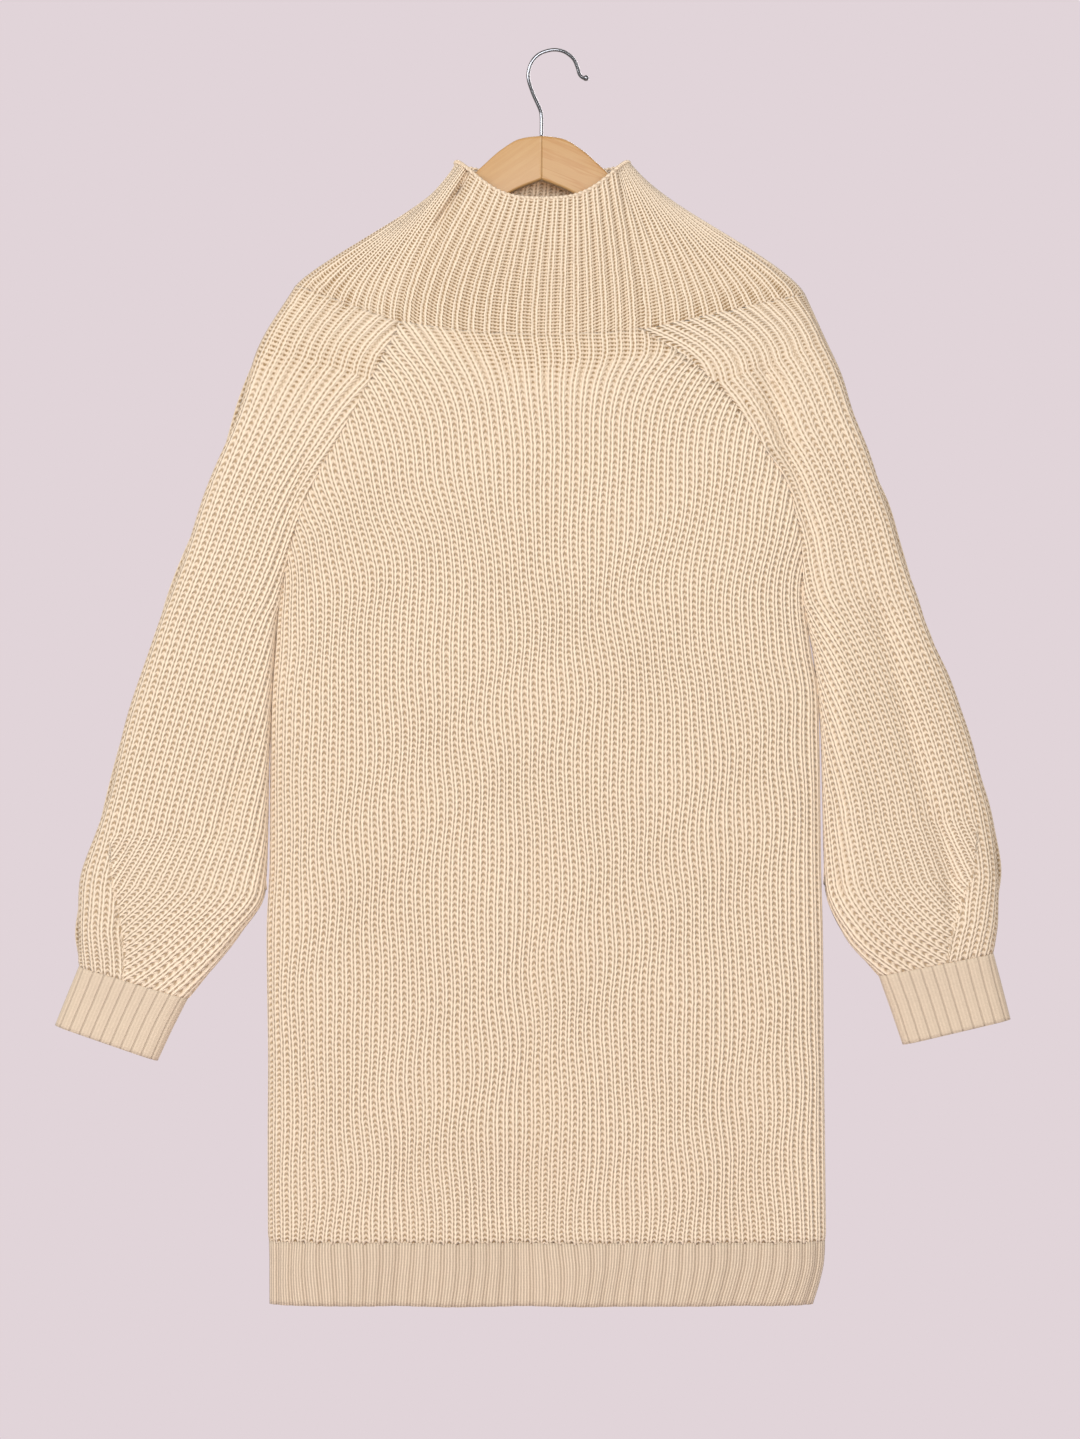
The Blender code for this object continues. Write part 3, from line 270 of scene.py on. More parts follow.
# The cast-off edge of the neck: its loops, rings to a loop, and sides; its thickness, how much a
# loop swells and how broad it lies; and how far it sinks below the rim.
EDGE_LOOPS = 112
EDGE_LOOP_RINGS = 6
EDGE_SIDES = 10
EDGE_RADIUS_YARN = 1.5
EDGE_SWELL = 0.22
EDGE_BROAD = 1.15
EDGE_SINK = 0.6
# Places at the yoke where the stitches are pulled open, which deepens their painted shade: across,
# up, and the size of the place.
HOLES = (
    (-183.0, -199.0, 10.0), (-172.0, -214.0, 9.0), (-129.0, -231.0, 8.0), (-136.0, -222.0, 6.0),
    (-138.0, -247.0, 6.0), (-145.0, -262.0, 5.0), (102.0, -250.0, 7.0), (122.0, -266.0, 7.0),
    (142.0, -284.0, 6.0), (160.0, -304.0, 6.0), (88.0, -236.0, 9.0), (108.0, -231.0, 9.0),
    (126.0, -226.0, 10.0), (146.0, -219.0, 10.0), (165.0, -211.0, 9.0), (190.0, -204.0, 8.0),
)

# The wooden hanger: reach from the middle, top and bottom edge.
ARM_STATIONS = (
    (0.15, -72.2, -109.6),
    (9.0, -72.9, -113.0),
    (18.7, -74.8, -116.9),
    (34.0, -83.7, -125.0),
    (51.0, -98.6, -136.0),
    (62.0, -108.8, -142.8),
    (89.2, -125.6, -158.9),
    (123.2, -148.7, -176.8),
    (151.3, -167.5, -191.2),
    (168.0, -180.0, -198.9),
    (177.0, -188.8, -198.4),
    (180.2, -192.2, -196.0),
)
HANGER_X = -8.8
HANGER_THICKNESS = 12.0
TIP_THICKNESS = 8.0
TIP_START = 0.9
EDGE_RADIUS = 2.6
EDGE_SHARE = 0.45
ARM_START = 0.02
ARM_ROWS = 121
ARM_SIDES = 48
# The arms' grain: how it slants, in degrees, and how strongly its lines show. Sizes are in metres.
GRAIN_LEFT = (-34.0, 0.12)
GRAIN_RIGHT = (22.0, 0.42)
GRAIN_SIZE = (0.085, 0.02, 0.0042)
PORE_SIZE = (0.012, 0.002, 0.0007)

# The hook: a bent wire with a small ball at its end.
BALL_RADIUS = 2.5
BALL_TIP_RADIUS = 0.4
HOOK_PATH = (
    (-8.8, -71.9), (-8.8, -56.1), (-10.1, -49.0), (-16.5, -34.4), (-20.1, -21.2), (-17.7, -10.0),
    (-11.0, -2.2), (0.0, 1.5), (10.0, 0.2), (18.0, -5.6), (21.6, -12.8), (23.6, -19.2),
    (26.6, -22.2), (29.4, -22.4), (31.6, -22.3),
)
WIRE_ROWS = 225
WIRE_SIDES = 20
# Both are darker than bare nickel: painted shade that stands in for the dim room the mirror would
# reflect. The dull one is the colour of the drawing marks.
NICKEL = "#8e9096"
DULL_NICKEL = "#606369"
# Length of an arm or of the wire for one step of its pattern.
PATTERN_STEP = 10.0

# How far from the underarm, in levels, a sleeve's rows are evened out, and how often.
UNDERARM_REACH = 0.7
UNDERARM_PASSES = 6
# Where a sleeve's ribs are gathered above the cuff: the level, the share of its ribs that is left
# outside and inside the tuck, how many ribs have turned in from the inner edge, the share of the
# width where the tuck lies, and how much the inner ribs lean.
GATHERS = ((8.0, 1.0, 1.0, 0.0, 0.14, 0.0), (9.0, 1.0, 0.90, 0.3, 0.21, 0.25),
           (10.0, 0.88, 0.71, 0.9, 0.30, 0.40), (11.0, 0.62, 0.47, 1.3, 0.42, 0.45))
# Ribs that are seen over a shoulder, to one rib of the form, at the sleeve's first levels.
HEAD_RIBS = {"left": (1.5, 1.02, 1.0, 1.0), "right": (2.0, 1.22, 1.03, 1.0)}
# Height above the band over which the panel's last stitches show holes of painted shade, and how
# open they are.
BAND_HOLES = 4.0
BAND_OPEN = 0.45
# Share of the ribs' rise in the two rows next to a band.
BAND_MEET = np.array(((0.3,), (0.8,)))
# How far a piece reaches past its seams, so that no gap shows.
LAP = 1.2
# Levels of a sleeve between which the ribs sink into a raglan seam, and the share of their rise
# there.
RAGLAN_LEVELS = (2.0, 5.0)
RAGLAN_SHARES = (0.75, 0.0)
# How far the yoke's lap lies under the pieces that it meets.
YOKE_SINK = 0.5
# Rib numbers further apart than this, at two corners of a face, mean that a tuck runs between them.
TUCK_JUMP = 1.0

# The camera looks level at this place, and the picture is this high there.
CAMERA_X = -0.010
CAMERA_Z = -0.568
SENSOR = 36.0
VIEW_HEIGHT = 1.223
ROOM_LIGHT = "#fff6ee"
# The lights: the name, the share of the key or fill power, the size and the place of each.
LIGHTS = (
    ("key_light", 1.0, 1.1, (-1.62, -2.5, 0.75)),
    ("fill_light", 1.0, 1.2, (0.5, -3.2, -0.1)),
    ("back_light", 0.9, 1.6, (0.8, 2.6, 0.6)),
)
# The floor: how far below the dress it lies, its radius, its thickness and its sides.
FLOOR_DROP = 400.0
FLOOR_REACH = 1000.0
FLOOR_THICKNESS = 4.0
FLOOR_SIDES = 96


def linear(hex_colour):
    """An sRGB hex colour as linear red, green and blue."""
    parts = [int(hex_colour[at:at + 2], 16) / 255.0 for at in (1, 3, 5)]
    return tuple(p / 12.92 if p <= 0.04045 else ((p + 0.055) / 1.055) ** 2.4 for p in parts)


# ---------------------------------------------------------------------------------------------
# Settings
# ---------------------------------------------------------------------------------------------

class KnitSettings(bpy.types.PropertyGroup):
    """Sizes and colours of the knitted cloth."""
    yarn: bpy.props.FloatVectorProperty(
        name="Yarn", description="Colour of the yarn where it lies on top", subtype="COLOR",
        size=3, min=0.0, max=1.0, default=linear("#fbe7ce"))
    # shade and band_shade are painted shade: colours that stand in for the shade deep between the
    # stitches and in the bands' ribs.
    shade: bpy.props.FloatVectorProperty(
        name="Between stitches", description="Colour deep between the stitches", subtype="COLOR",
        size=3, min=0.0, max=1.0, default=linear("#a48661"))
    band_shade: bpy.props.FloatVectorProperty(
        name="Between band stitches", description="Colour deep in the hem's and the cuffs' ribs",
        subtype="COLOR", size=3, min=0.0, max=1.0, default=linear("#9e8974"))
    wall: bpy.props.FloatProperty(
        name="Wall", description="Thickness of the cloth under its ribs", default=2.3 * MM,
        min=0.001, max=0.004, unit="LENGTH", subtype="DISTANCE", precision=4)
    rib_rise: bpy.props.FloatProperty(
        name="Rib height", description="How far a rib stands above the valley beside it",
        default=1.4 * MM, min=0.0, max=0.003, unit="LENGTH", subtype="DISTANCE", precision=4)
    band_rise: bpy.props.FloatProperty(
        name="Band rib height", description="How far a rib of the hem and the cuffs stands out",
        default=1.1 * MM, min=0.0, max=0.003, unit="LENGTH", subtype="DISTANCE", precision=4)


class HangerSettings(bpy.types.PropertyGroup):
    """Sizes and colours of the hanger."""
    pale_wood: bpy.props.FloatVectorProperty(
        name="Pale wood", description="Colour of the early wood", subtype="COLOR",
        size=3, min=0.0, max=1.0, default=linear("#c69e6b"))
    dark_wood: bpy.props.FloatVectorProperty(
        name="Grain", description="Colour of the grain lines", subtype="COLOR",
        size=3, min=0.0, max=1.0, default=linear("#b57f47"))
    wire: bpy.props.FloatProperty(
        name="Wire", description="Thickness of the hook's wire", default=3.0 * MM,
        min=0.002, max=0.004, unit="LENGTH", subtype="DISTANCE", precision=4)


class StageSettings(bpy.types.PropertyGroup):
    """The camera's place, the floor and the light."""
    backdrop: bpy.props.FloatVectorProperty(
        name="Backdrop", description="Colour behind the dress and of the floor", subtype="COLOR",
        size=3, min=0.0, max=1.0, default=linear("#e1d4d9"))
    distance: bpy.props.FloatProperty(
        name="Camera distance", description="From the camera to the dress", default=3.0,
        min=1.0, max=10.0, unit="LENGTH", subtype="DISTANCE")
    key: bpy.props.FloatProperty(
        name="Key light", description="Power of the large light on the upper left",
        default=51.5, min=0.0, unit="POWER")
    room: bpy.props.FloatProperty(
        name="Room light", description="Strength of the light from all round", default=0.62,
        min=0.3, max=2.0)
    fill: bpy.props.FloatProperty(
        name="Fill light", description="Power of the light in front, a little to the right",
        default=49.5, min=0.0, unit="POWER")


# ---------------------------------------------------------------------------------------------
# Curves and tables
# ---------------------------------------------------------------------------------------------

def through(at, knots, values):
    """A smooth curve through the values that never swings past them: a cubic between each pair of
    knots, whose slope at a knot is the harmonic mean of the slopes beside it."""
    knots = np.asarray(knots, float)
    values = np.asarray(values, float)
    step = np.diff(knots)
    rise = np.diff(values) / step
    slope = np.empty_like(values)
    slope[0] = rise[0]
    slope[-1] = rise[-1]
    same_way = rise[:-1] * rise[1:] > 0.0
    total = np.where(same_way, rise[:-1] + rise[1:], 1.0)
    slope[1:-1] = np.where(same_way, 2.0 * rise[:-1] * rise[1:] / total, 0.0)
    place = np.clip(np.searchsorted(knots, at, side="right") - 1, 0, len(step) - 1)
    part = np.clip((at - knots[place]) / step[place], 0.0, 1.0)
    rest = 1.0 - part
    start = values[place] * (1.0 + 2.0 * part) * rest ** 2
    end = values[place + 1] * (1.0 + 2.0 * rest) * part ** 2
    bend = step[place] * part * rest * (slope[place] * rest - slope[place + 1] * part)
    return start + end + bend


def ease(share):
    """Smoothly from 0 to 1, as x ^ 2 (3 - 2 x) for a share x, and level outside it."""
    share = np.clip(share, 0.0, 1.0)
    return share ** 2 * (3.0 - 2.0 * share)


def run_along(line):
    """The length so far at each point of a line, one row to a point."""
    return np.concatenate(([0.0], np.cumsum(np.linalg.norm(np.diff(line, axis=0), axis=1))))


def mix(start, end, share):
    """What lies at a share of the way from start to end."""
    return start * (1.0 - share) + end * share


def cubic(start, end, leave, meet, part):
    """A cubic from start to end, with the slopes at which it leaves and meets them."""
    rest = 1.0 - part
    return (start * (1.0 + 2.0 * part) * rest ** 2 + end * (1.0 + 2.0 * rest) * part ** 2
            + leave * part * rest ** 2 - meet * part ** 2 * rest)


def unit(vectors):
    """The same vectors, each of length 1."""
    return vectors / np.maximum(np.linalg.norm(vectors, axis=-1, keepdims=True), 1e-9)


def round_turn(sides):
    """Angles evenly spaced once round."""
    return 2.0 * math.pi * np.arange(sides) / sides


def level_values(table, columns, level):
    """Every column of a level table, at levels that may lie between two rows."""
    rows = np.array(table, float)
    knots = np.arange(len(rows))
    return {name: through(level, knots, rows[:, at]) for at, name in enumerate(columns)}


def even_rows(x, y):
    """The same curves, one in each row, with their points evenly spaced along the curve."""
    steps = np.hypot(np.diff(x, axis=1, prepend=x[:, :1]), np.diff(y, axis=1, prepend=y[:, :1]))
    run = np.cumsum(steps, axis=1)
    own_row = 2.0 * np.arange(len(x))[:, None]
    place = (run / run[:, -1:] + own_row).ravel()
    wanted = np.linspace(0.0, 1.0, x.shape[1])[None, :] + own_row
    return np.interp(wanted, place, x.ravel()), np.interp(wanted, place, y.ravel())


def half_sections(half_width, depth, edge):
    """Half of a flat tube's section for each row, from its middle out to its edge: where
    (x / half width) ^ 8 + (y / depth) ^ 2 = 1, squeezed so that y is the edge depth at the edge."""
    shut = (1.0 - (edge / depth) ** 2)[:, None]
    turn = np.linspace(0.0, 1.0, ARC_STEPS) ** (FLATNESS / 2.0) * np.arcsin(np.sqrt(shut))
    across = half_width[:, None] * (np.sin(turn) ** 2 / shut) ** (1.0 / FLATNESS)
    return across, depth[:, None] * np.cos(turn)


def whole_sections(width, depth, edge):
    """A flat tube's section for each row, from its outer edge, which is sharp, to its inner one:
    shares of its width, and how far it stands off there."""
    half = width[:, None] / 2.0
    outer = half_sections(width / 2.0, depth, np.zeros_like(depth))
    inner = half_sections(width / 2.0, depth, edge)
    across = np.concatenate((half - outer[0][:, ::-1], half + inner[0][:, 1:]), axis=1)
    across, out = even_rows(across, np.concatenate((outer[1][:, ::-1], inner[1][:, 1:]), axis=1))
    return across / width[:, None], out


def look_up(table, row, part):
    """A value between the rows and columns of a table, each weighted by its nearness."""
    rows, columns = table.shape
    row = np.clip(row, 0.0, rows - 1.001)
    column = np.clip(np.clip(part, 0.0, 1.0) * (columns - 1), 0.0, columns - 1.0001)
    r = row.astype(int)
    c = column.astype(int)
    upper = table[r, c] * (c + 1.0 - column) + table[r, c + 1] * (column - c)
    lower = table[r + 1, c] * (c + 1.0 - column) + table[r + 1, c + 1] * (column - c)
    return upper * (r + 1.0 - row) + lower * (row - r)


# ---------------------------------------------------------------------------------------------
# The cloth's form
# ---------------------------------------------------------------------------------------------

class PanelForm:
    """The flattened tube of the front and back panels. A point is a rib's number, counted from the
    middle, and a level between the yoke seam and the hem."""

    def __init__(self):
        self.levels = np.linspace(0.0, HEM_LEVEL, HEM_LEVEL * FINE_LEVELS + 1)
        self.at = level_values(BODY_LEVELS, BODY_COLUMNS, self.levels)
        self.across = {}
        self.out = {}
        for side in ("left", "right"):
            width = np.abs(self.at["x_" + side] - self.at["middle"])
            arc = half_sections(width, self.at["depth"], self.at["edge"])
            self.across[side], self.out[side] = even_rows(*arc)

    def value(self, name, level):
        return np.interp(level, self.levels, self.at[name])

    def level_of_height(self, z):
        return np.interp(-z, -self.at["z_left"], self.levels)

    def top_level(self, rib):
        """The level where a rib ends: at the yoke seam, or at a raglan seam."""
        armhole = self.levels <= UNDERARM_LEVEL
        left = np.interp(-rib, self.at["ribs_left"][armhole], self.levels[armhole])
        right = np.interp(rib, self.at["ribs_right"][armhole], self.levels[armhole])
        return np.where(rib < 0.0, left, right)

    def point(self, rib, level, face):
        """x and y lie on the level's half section, at the rib's share of its length; z runs
        straight from the left edge's height to the right one's, and sags in the middle."""
        left_side = rib < 0.0
        ribs = np.where(left_side, self.value("ribs_left", level), self.value("ribs_right", level))
        part = np.clip(np.abs(rib) / ribs, 0.0, 1.0)
        row = level * FINE_LEVELS
        x = np.where(left_side, -look_up(self.across["left"], row, part),
                     look_up(self.across["right"], row, part)) + self.value("middle", level)
        out = np.where(left_side, look_up(self.out["left"], row, part),
                       look_up(self.out["right"], row, part))
        left = self.value("x_left", level)
        share = np.clip((x - left) / (self.value("x_right", level) - left), 0.0, 1.0)
        z = mix(self.value("z_left", level), self.value("z_right", level), share)
        z = z - self.value("sag", level) * 4.0 * share * (1.0 - share)
        y = face * np.maximum(out, HALF_SEAM)
        return np.stack(np.broadcast_arrays(x, y, z), axis=-1)

    def seam(self, side, z):
        """Reach and stand-off of a raglan seam at a height."""
        heights = self.at["z_" + side]
        return (np.interp(-z, -heights, self.at["x_" + side]),
                np.interp(-z, -heights, self.at["edge"]))


class SleeveForm:
    """A sleeve's flattened tube. A point is a rib's number, counted from the outer edge and above
    zero in front, and a level between the yoke seam and the cuff seam."""

    def __init__(self, table, side, panels):
        self.levels = np.linspace(0.0, SLEEVE_END, SLEEVE_END * FINE_LEVELS + 1)
        self.at = level_values(table, SLEEVE_COLUMNS, self.levels)
        seam_x, seam_edge = panels.seam(side, self.at["z_in"])
        above = self.levels <= SLEEVE_UNDERARM
        self.at["x_in"] = np.where(above, seam_x, self.at["x_in"])
        depth = self.at["depth"]
        edge = np.minimum(np.where(above, seam_edge, 0.0), depth * EDGE_LIMIT)
        width = np.hypot(self.at["x_out"] - self.at["x_in"], self.at["z_out"] - self.at["z_in"])
        self.across, self.out = whole_sections(width, depth, edge)
        self.length = run_along(np.stack((self.at["x_in"] + self.at["x_out"],
                                          self.at["z_in"] + self.at["z_out"]), axis=-1) / 2.0)

    def value(self, name, level):
        return np.interp(level, self.levels, self.at[name])

    def top_level(self, rib):
        rising = self.at["ribs"] + self.levels * 1e-6
        return np.interp(np.abs(rib), rising, self.levels)

    def point(self, rib, level):
        """x and z run straight across the sleeve, from its outer edge to its inner one, and y
        stands off that line as the level's section does."""
        part = np.clip(np.abs(rib) / self.value("ribs", level), 0.0, 1.0)
        row = level * FINE_LEVELS
        share = look_up(self.across, row, part)
        out = look_up(self.out, row, part)
        x = mix(self.value("x_out", level), self.value("x_in", level), share)
        z = mix(self.value("z_out", level), self.value("z_in", level), share)
        y = np.where(rib > 0.0, -1.0, 1.0) * out
        return np.stack(np.broadcast_arrays(x, y, z), axis=-1)


def cuff_point(table, share_round, level):
    """A flat tube whose ends slant: share_round runs from its outer edge over the front and back
    again, evenly along the section, and level from the sleeve seam to the open end."""
    at = level_values(table, CUFF_COLUMNS, level)
    width = np.hypot(at["x_out"] - at["x_in"], at["z_out"] - at["z_in"])
    across, out = whole_sections(width, at["depth"], np.zeros_like(width))
    front = share_round < 0.5
    part = np.where(front, share_round * 2.0, 2.0 - share_round * 2.0)[None, :]
    row = np.arange(len(level), dtype=float)[:, None]
    share = look_up(across, row, part)
    x = mix(at["x_out"][:, None], at["x_in"][:, None], share)
    z = mix(at["z_out"][:, None], at["z_in"][:, None], share)
    y = np.where(front, -1.0, 1.0) * look_up(out, row, part)
    return np.stack((x, y, z), axis=-1)


def wrap(place):
    """A place round the yoke as ribs from the front middle, above zero to the right."""
    return (place + YOKE_RIBS / 2.0) % YOKE_RIBS - YOKE_RIBS / 2.0


def rim_point(place):
    """The neck rim, at a place round the yoke: 0 is the front middle, and ribs count to the right.
    It is the oval (x / width) ^ 2.8 + (y / depth) ^ 2.8 = 1, and it dips towards the middle."""
    turn = np.linspace(-math.pi, math.pi, ARC_STEPS * 4 + 1)
    power = 2.0 / RIM_FLATNESS
    x = RIM_HALF_WIDTH * np.sign(np.sin(turn)) * np.abs(np.sin(turn)) ** power
    depth = np.where(np.cos(turn) > 0.0, RIM_FRONT_DEPTH, RIM_BACK_DEPTH)
    y = -depth * np.sign(np.cos(turn)) * np.abs(np.cos(turn)) ** power
    along = run_along(np.stack((x, y), axis=-1))
    front = y <= 0.0
    corner = RIM_CORNER * RIM_HALF_WIDTH
    front_left = np.interp(-corner, x[front], along[front])
    front_right = np.interp(corner, x[front], along[front])
    middle = along[-1] / 2.0
    back = middle - (front_right - middle) * RIM_BACK_REACH
    far = CROWN_RIBS + 2.0 * SHOULDER_RIBS
    marks = (-YOKE_RIBS / 2.0, -far, -CROWN_RIBS, CROWN_RIBS, far, YOKE_RIBS / 2.0)
    lengths = (0.0, middle - back, front_left, front_right, middle + back, along[-1])
    wanted = np.interp(wrap(place), marks, lengths)
    px = np.interp(wanted, along, x)
    py = np.interp(wanted, along, y)
    share = np.clip(np.abs(px) / RIM_HALF_WIDTH, 0.0, 1.0)
    dip = np.where(py < 0.0, RIM_FRONT_DIP, RIM_BACK_DIP)
    pz = RIM_SIDE_Z - dip * (1.0 - share ** DIP_POWER) ** DIP_SHARPNESS
    return np.stack((px + RIM_MIDDLE_X, py, pz), axis=-1)


def yoke_seam_point(panels, sleeves, place):
    """The yoke seam's loop: the panels' top edge in front and behind, and the sleeves' top edge
    over the shoulders."""
    wrapped = wrap(place)
    reach = np.abs(wrapped)
    top = np.zeros_like(wrapped)
    front = panels.point(np.clip(wrapped, -CROWN_RIBS, CROWN_RIBS), top, -1.0)
    behind = np.copysign(np.clip(YOKE_RIBS / 2.0 - reach, 0.0, CROWN_RIBS), wrapped)
    back = panels.point(behind, top, 1.0)
    rib = np.clip(CROWN_RIBS + SHOULDER_RIBS - reach, -SHOULDER_RIBS, SHOULDER_RIBS)
    left = sleeves["left"].point(rib, top)
    right = sleeves["right"].point(rib, top)
    shoulder = np.where((wrapped < 0.0)[:, None], left, right)
    in_front = (reach <= CROWN_RIBS)[:, None]
    behind_it = (reach >= CROWN_RIBS + 2.0 * SHOULDER_RIBS)[:, None]
    return np.where(in_front, front, np.where(behind_it, back, shoulder))


def yoke_point(panels, sleeves, place, down):
    """The yoke's wales. Each is a cubic from the rim to the seam: it leaves the rim nearly straight
    down, and fans out over the crown or bends over the shoulder."""
    rim = rim_point(place)
    seam = yoke_seam_point(panels, sleeves, place)
    wrapped = wrap(place)
    edge = CROWN_RIBS + SHOULDER_RIBS
    shoulder = ease(1.0 - np.abs(np.abs(wrapped) - edge) / SHOULDER_RIBS)[:, None]
    spread = seam[:, 0] - rim[:, 0]
    flat = np.zeros_like(spread)
    crown_leave = np.stack((spread * CROWN_LEAVE_FAN, flat, flat + CROWN_DROP), axis=-1)
    crown_meet = np.stack((spread * CROWN_MEET_FAN, flat, flat + CROWN_DROP), axis=-1)
    arm = np.where((wrapped < 0.0)[:, None], SHOULDER_LEFT, SHOULDER_RIGHT)
    arm_leave = np.stack((arm[:, 0], flat, arm[:, 1]), axis=-1)
    arm_meet = np.stack((arm[:, 2], flat, arm[:, 3]), axis=-1)
    leave = mix(crown_leave, arm_leave, shoulder)
    meet = mix(crown_meet, arm_meet, shoulder)
    return cubic(rim, seam, leave, meet, down[:, None, None])


def fold(points):
    """Moves cloth towards the middle plane in troughs and away from it on ridges, by the fold's
    depth times exp(-(distance from its line / half width) ^ 2). Cloth near the edges moves less,
    and a long fold deepens smoothly from its upper end on."""
    moved = points.copy()
    x = points[..., 0]
    z = points[..., 2]
    for face, half_width, depth, line in FOLDS + CREASES:
        nearest = np.full(x.shape, np.inf)
        begun = np.zeros(x.shape)
        run = 0.0
        for (ax, az), (bx, bz) in zip(line[:-1], line[1:]):
            length = math.hypot(bx - ax, bz - az)
            part = np.clip(((x - ax) * (bx - ax) + (z - az) * (bz - az)) / length ** 2, 0.0, 1.0)
            away = np.hypot(x - ax - part * (bx - ax), z - az - part * (bz - az))
            begun = np.where(away < nearest, run + part * length, begun)
            nearest = np.minimum(nearest, away)
            run += length
        if run > LONG_FOLD:
            depth = depth * ease(begun / (FOLD_START * half_width))
        side = -1.0 if face == "front" else 1.0
        out = np.clip(points[..., 1] * side / FULL_STAND_OFF, 0.0, 1.0) ** FOLD_FADE
        moved[..., 1] -= side * out * depth * np.exp(-(nearest / half_width) ** 2)
    return moved


def wave(points, free):
    """Lets the ribs wander sideways and the surface swell, by a sum of sines of the place. free is
    0 where the cloth is sewn or folded and 1 where it hangs loose."""
    moved = points.copy()
    x = points[..., 0]
    z = points[..., 2]
    for wander, across, up, start in WAVES:
        turn = 2.0 * math.pi * (x / across + z / up) + start + np.sign(points[..., 1])
        moved[..., 0] += wander * free * np.sin(turn)
        moved[..., 1] += np.sign(points[..., 1]) * SWELL * wander * free * np.cos(turn * SWELL_TURN)
    return moved


def loose(rib, limit, within):
    """How loose the cloth is: 0 at the rib that limits it and 1 from some ribs inside it."""
    return ease((limit - np.abs(rib)) / within)


def stretched(pitch):
    """How far the cloth is stretched sideways, as its ribs spread from their distance at rest."""
    return ease((pitch - REST_PITCH) / (STRETCHED_PITCH - REST_PITCH))


def pulled_open(points, pitch):
    """How far the stitches are pulled open: more as the ribs spread, and most at the listed places,
    each fading with exp(-(distance / size) ^ 2)."""
    opened = np.clip((pitch - OPENING_PITCH) / OPENING_REACH, 0.0, OPENING_LIMIT)
    for x, z, size in HOLES:
        away = ((points[..., 0] - x) ** 2 + (points[..., 2] - z) ** 2) / size ** 2
        opened = np.maximum(opened, np.exp(-away) * (points[..., 1] < 0.0))
    return opened


# ---------------------------------------------------------------------------------------------
# Meshes
# ---------------------------------------------------------------------------------------------

def rib_share(rib, section):
    """How much of a rib's rise the cloth has: the section repeats once a rib, and valleys lie at
    whole numbers."""
    off = np.abs(rib % 1.0 - 0.5)
    places, heights = zip(*section)
    return np.interp(off, places, heights)


def row_steps(points, closed):
    """The step along a row at each point of a grid; a closed grid's last column joins its first."""
    if not closed:
        return np.gradient(points, axis=1)
    wide = np.concatenate((points[:, -1:], points, points[:, :1]), axis=1)
    return (wide[:, 2:] - wide[:, :-2]) / 2.0


def normals(points, closed):
    """Unit normals of a grid: the cross product of its steps along and down."""
    return unit(np.cross(row_steps(points, closed), np.gradient(points, axis=0)))


def rib_pitch(points, rib, closed):
    """Distance between two ribs, in millimetres, at each point of the grid: one over the slope of
    the rib number along the surface, which is the square root of (G u_c^2 - 2 F u_c u_r + E u_r^2)
    / (E G - F^2) for a step c along a row and r down a column."""
    columns = points.shape[1]
    along = row_steps(points, closed)
    down = np.gradient(points, axis=0)
    per_column = np.gradient(rib, axis=1)[:, :columns]
    per_row = np.gradient(rib[:, :columns], axis=0)
    e = (along * along).sum(axis=-1)
    f = (along * down).sum(axis=-1)
    g = (down * down).sum(axis=-1)
    slope = (g * per_column ** 2 - 2.0 * f * per_column * per_row + e * per_row ** 2)
    slope = np.sqrt(np.maximum(slope, 1e-9) / np.maximum(e * g - f * f, 1e-6))
    return np.clip(1.0 / slope, PITCH_LIMITS[0], PITCH_LIMITS[1])


def courses_down(points, height):
    """The number of courses of that height from a grid's first row down to each point."""
    steps = np.linalg.norm(np.diff(points, axis=0, prepend=points[:1]), axis=-1)
    return np.cumsum(steps, axis=0) / height


def signed_volume(corners):
    """Six times the volume inside, from triangles: the sum of a . (b x c)."""
    a, b, c = corners[:, 0], corners[:, 1], corners[:, 2]
    return np.einsum("ij,ij->", a, np.cross(b, c))


def add_piece(name, points, quads, more, uv, values, material, rounded):
    """One mesh object at the origin, with its UV map and its attributes. uv holds a place for each
    corner of each face, and rounded says how many of the faces are shaded as one smooth surface;
    faces are turned round if they would point inwards."""
    corners = points[np.concatenate((quads[:, (0, 1, 2)], quads[:, (0, 2, 3)]))]
    inside_out = signed_volume(corners) < 0.0
    sizes = np.concatenate((np.full(len(quads), 4), [len(face) for face in more])).astype(int)
    loops = np.concatenate([quads.ravel()] + [np.array(face) for face in more]).astype(int)
    mesh = bpy.data.meshes.new(name)
    mesh.vertices.add(len(points))
    mesh.vertices.foreach_set("co", (points * MM).astype(np.float32).ravel())
    mesh.loops.add(len(loops))
    mesh.loops.foreach_set("vertex_index", loops)
    mesh.polygons.add(len(sizes))
    mesh.polygons.foreach_set("loop_start", np.concatenate(([0], np.cumsum(sizes)[:-1])))
    mesh.polygons.foreach_set("use_smooth", np.arange(len(sizes)) < rounded)
    layer = mesh.uv_layers.new(name="stitches")
    layer.data.foreach_set("uv", uv.astype(np.float32).ravel())
    for attribute, column in values.items():
        stored = mesh.attributes.new(attribute, "FLOAT", "POINT")
        stored.data.foreach_set("value", column.astype(np.float32).ravel())
    mesh.update(calc_edges=True)
    if inside_out:
        mesh.flip_normals()
    mesh.validate()
    mesh.materials.append(material)
    piece = bpy.data.objects.new(name, mesh)
    bpy.context.scene.collection.objects.link(piece)
    return piece


def grid_faces(rows, columns, closed):
    """Quads of a grid as (row, column) pairs; a closed grid's last column is its first again."""
    last = columns if closed else columns - 1
    r, c = np.meshgrid(np.arange(rows - 1), np.arange(last), indexing="ij")
    r = r.ravel()
    c = c.ravel()
    return np.stack((r, r + 1, r + 1, r), axis=-1), np.stack((c, c, c + 1, c + 1), axis=-1)


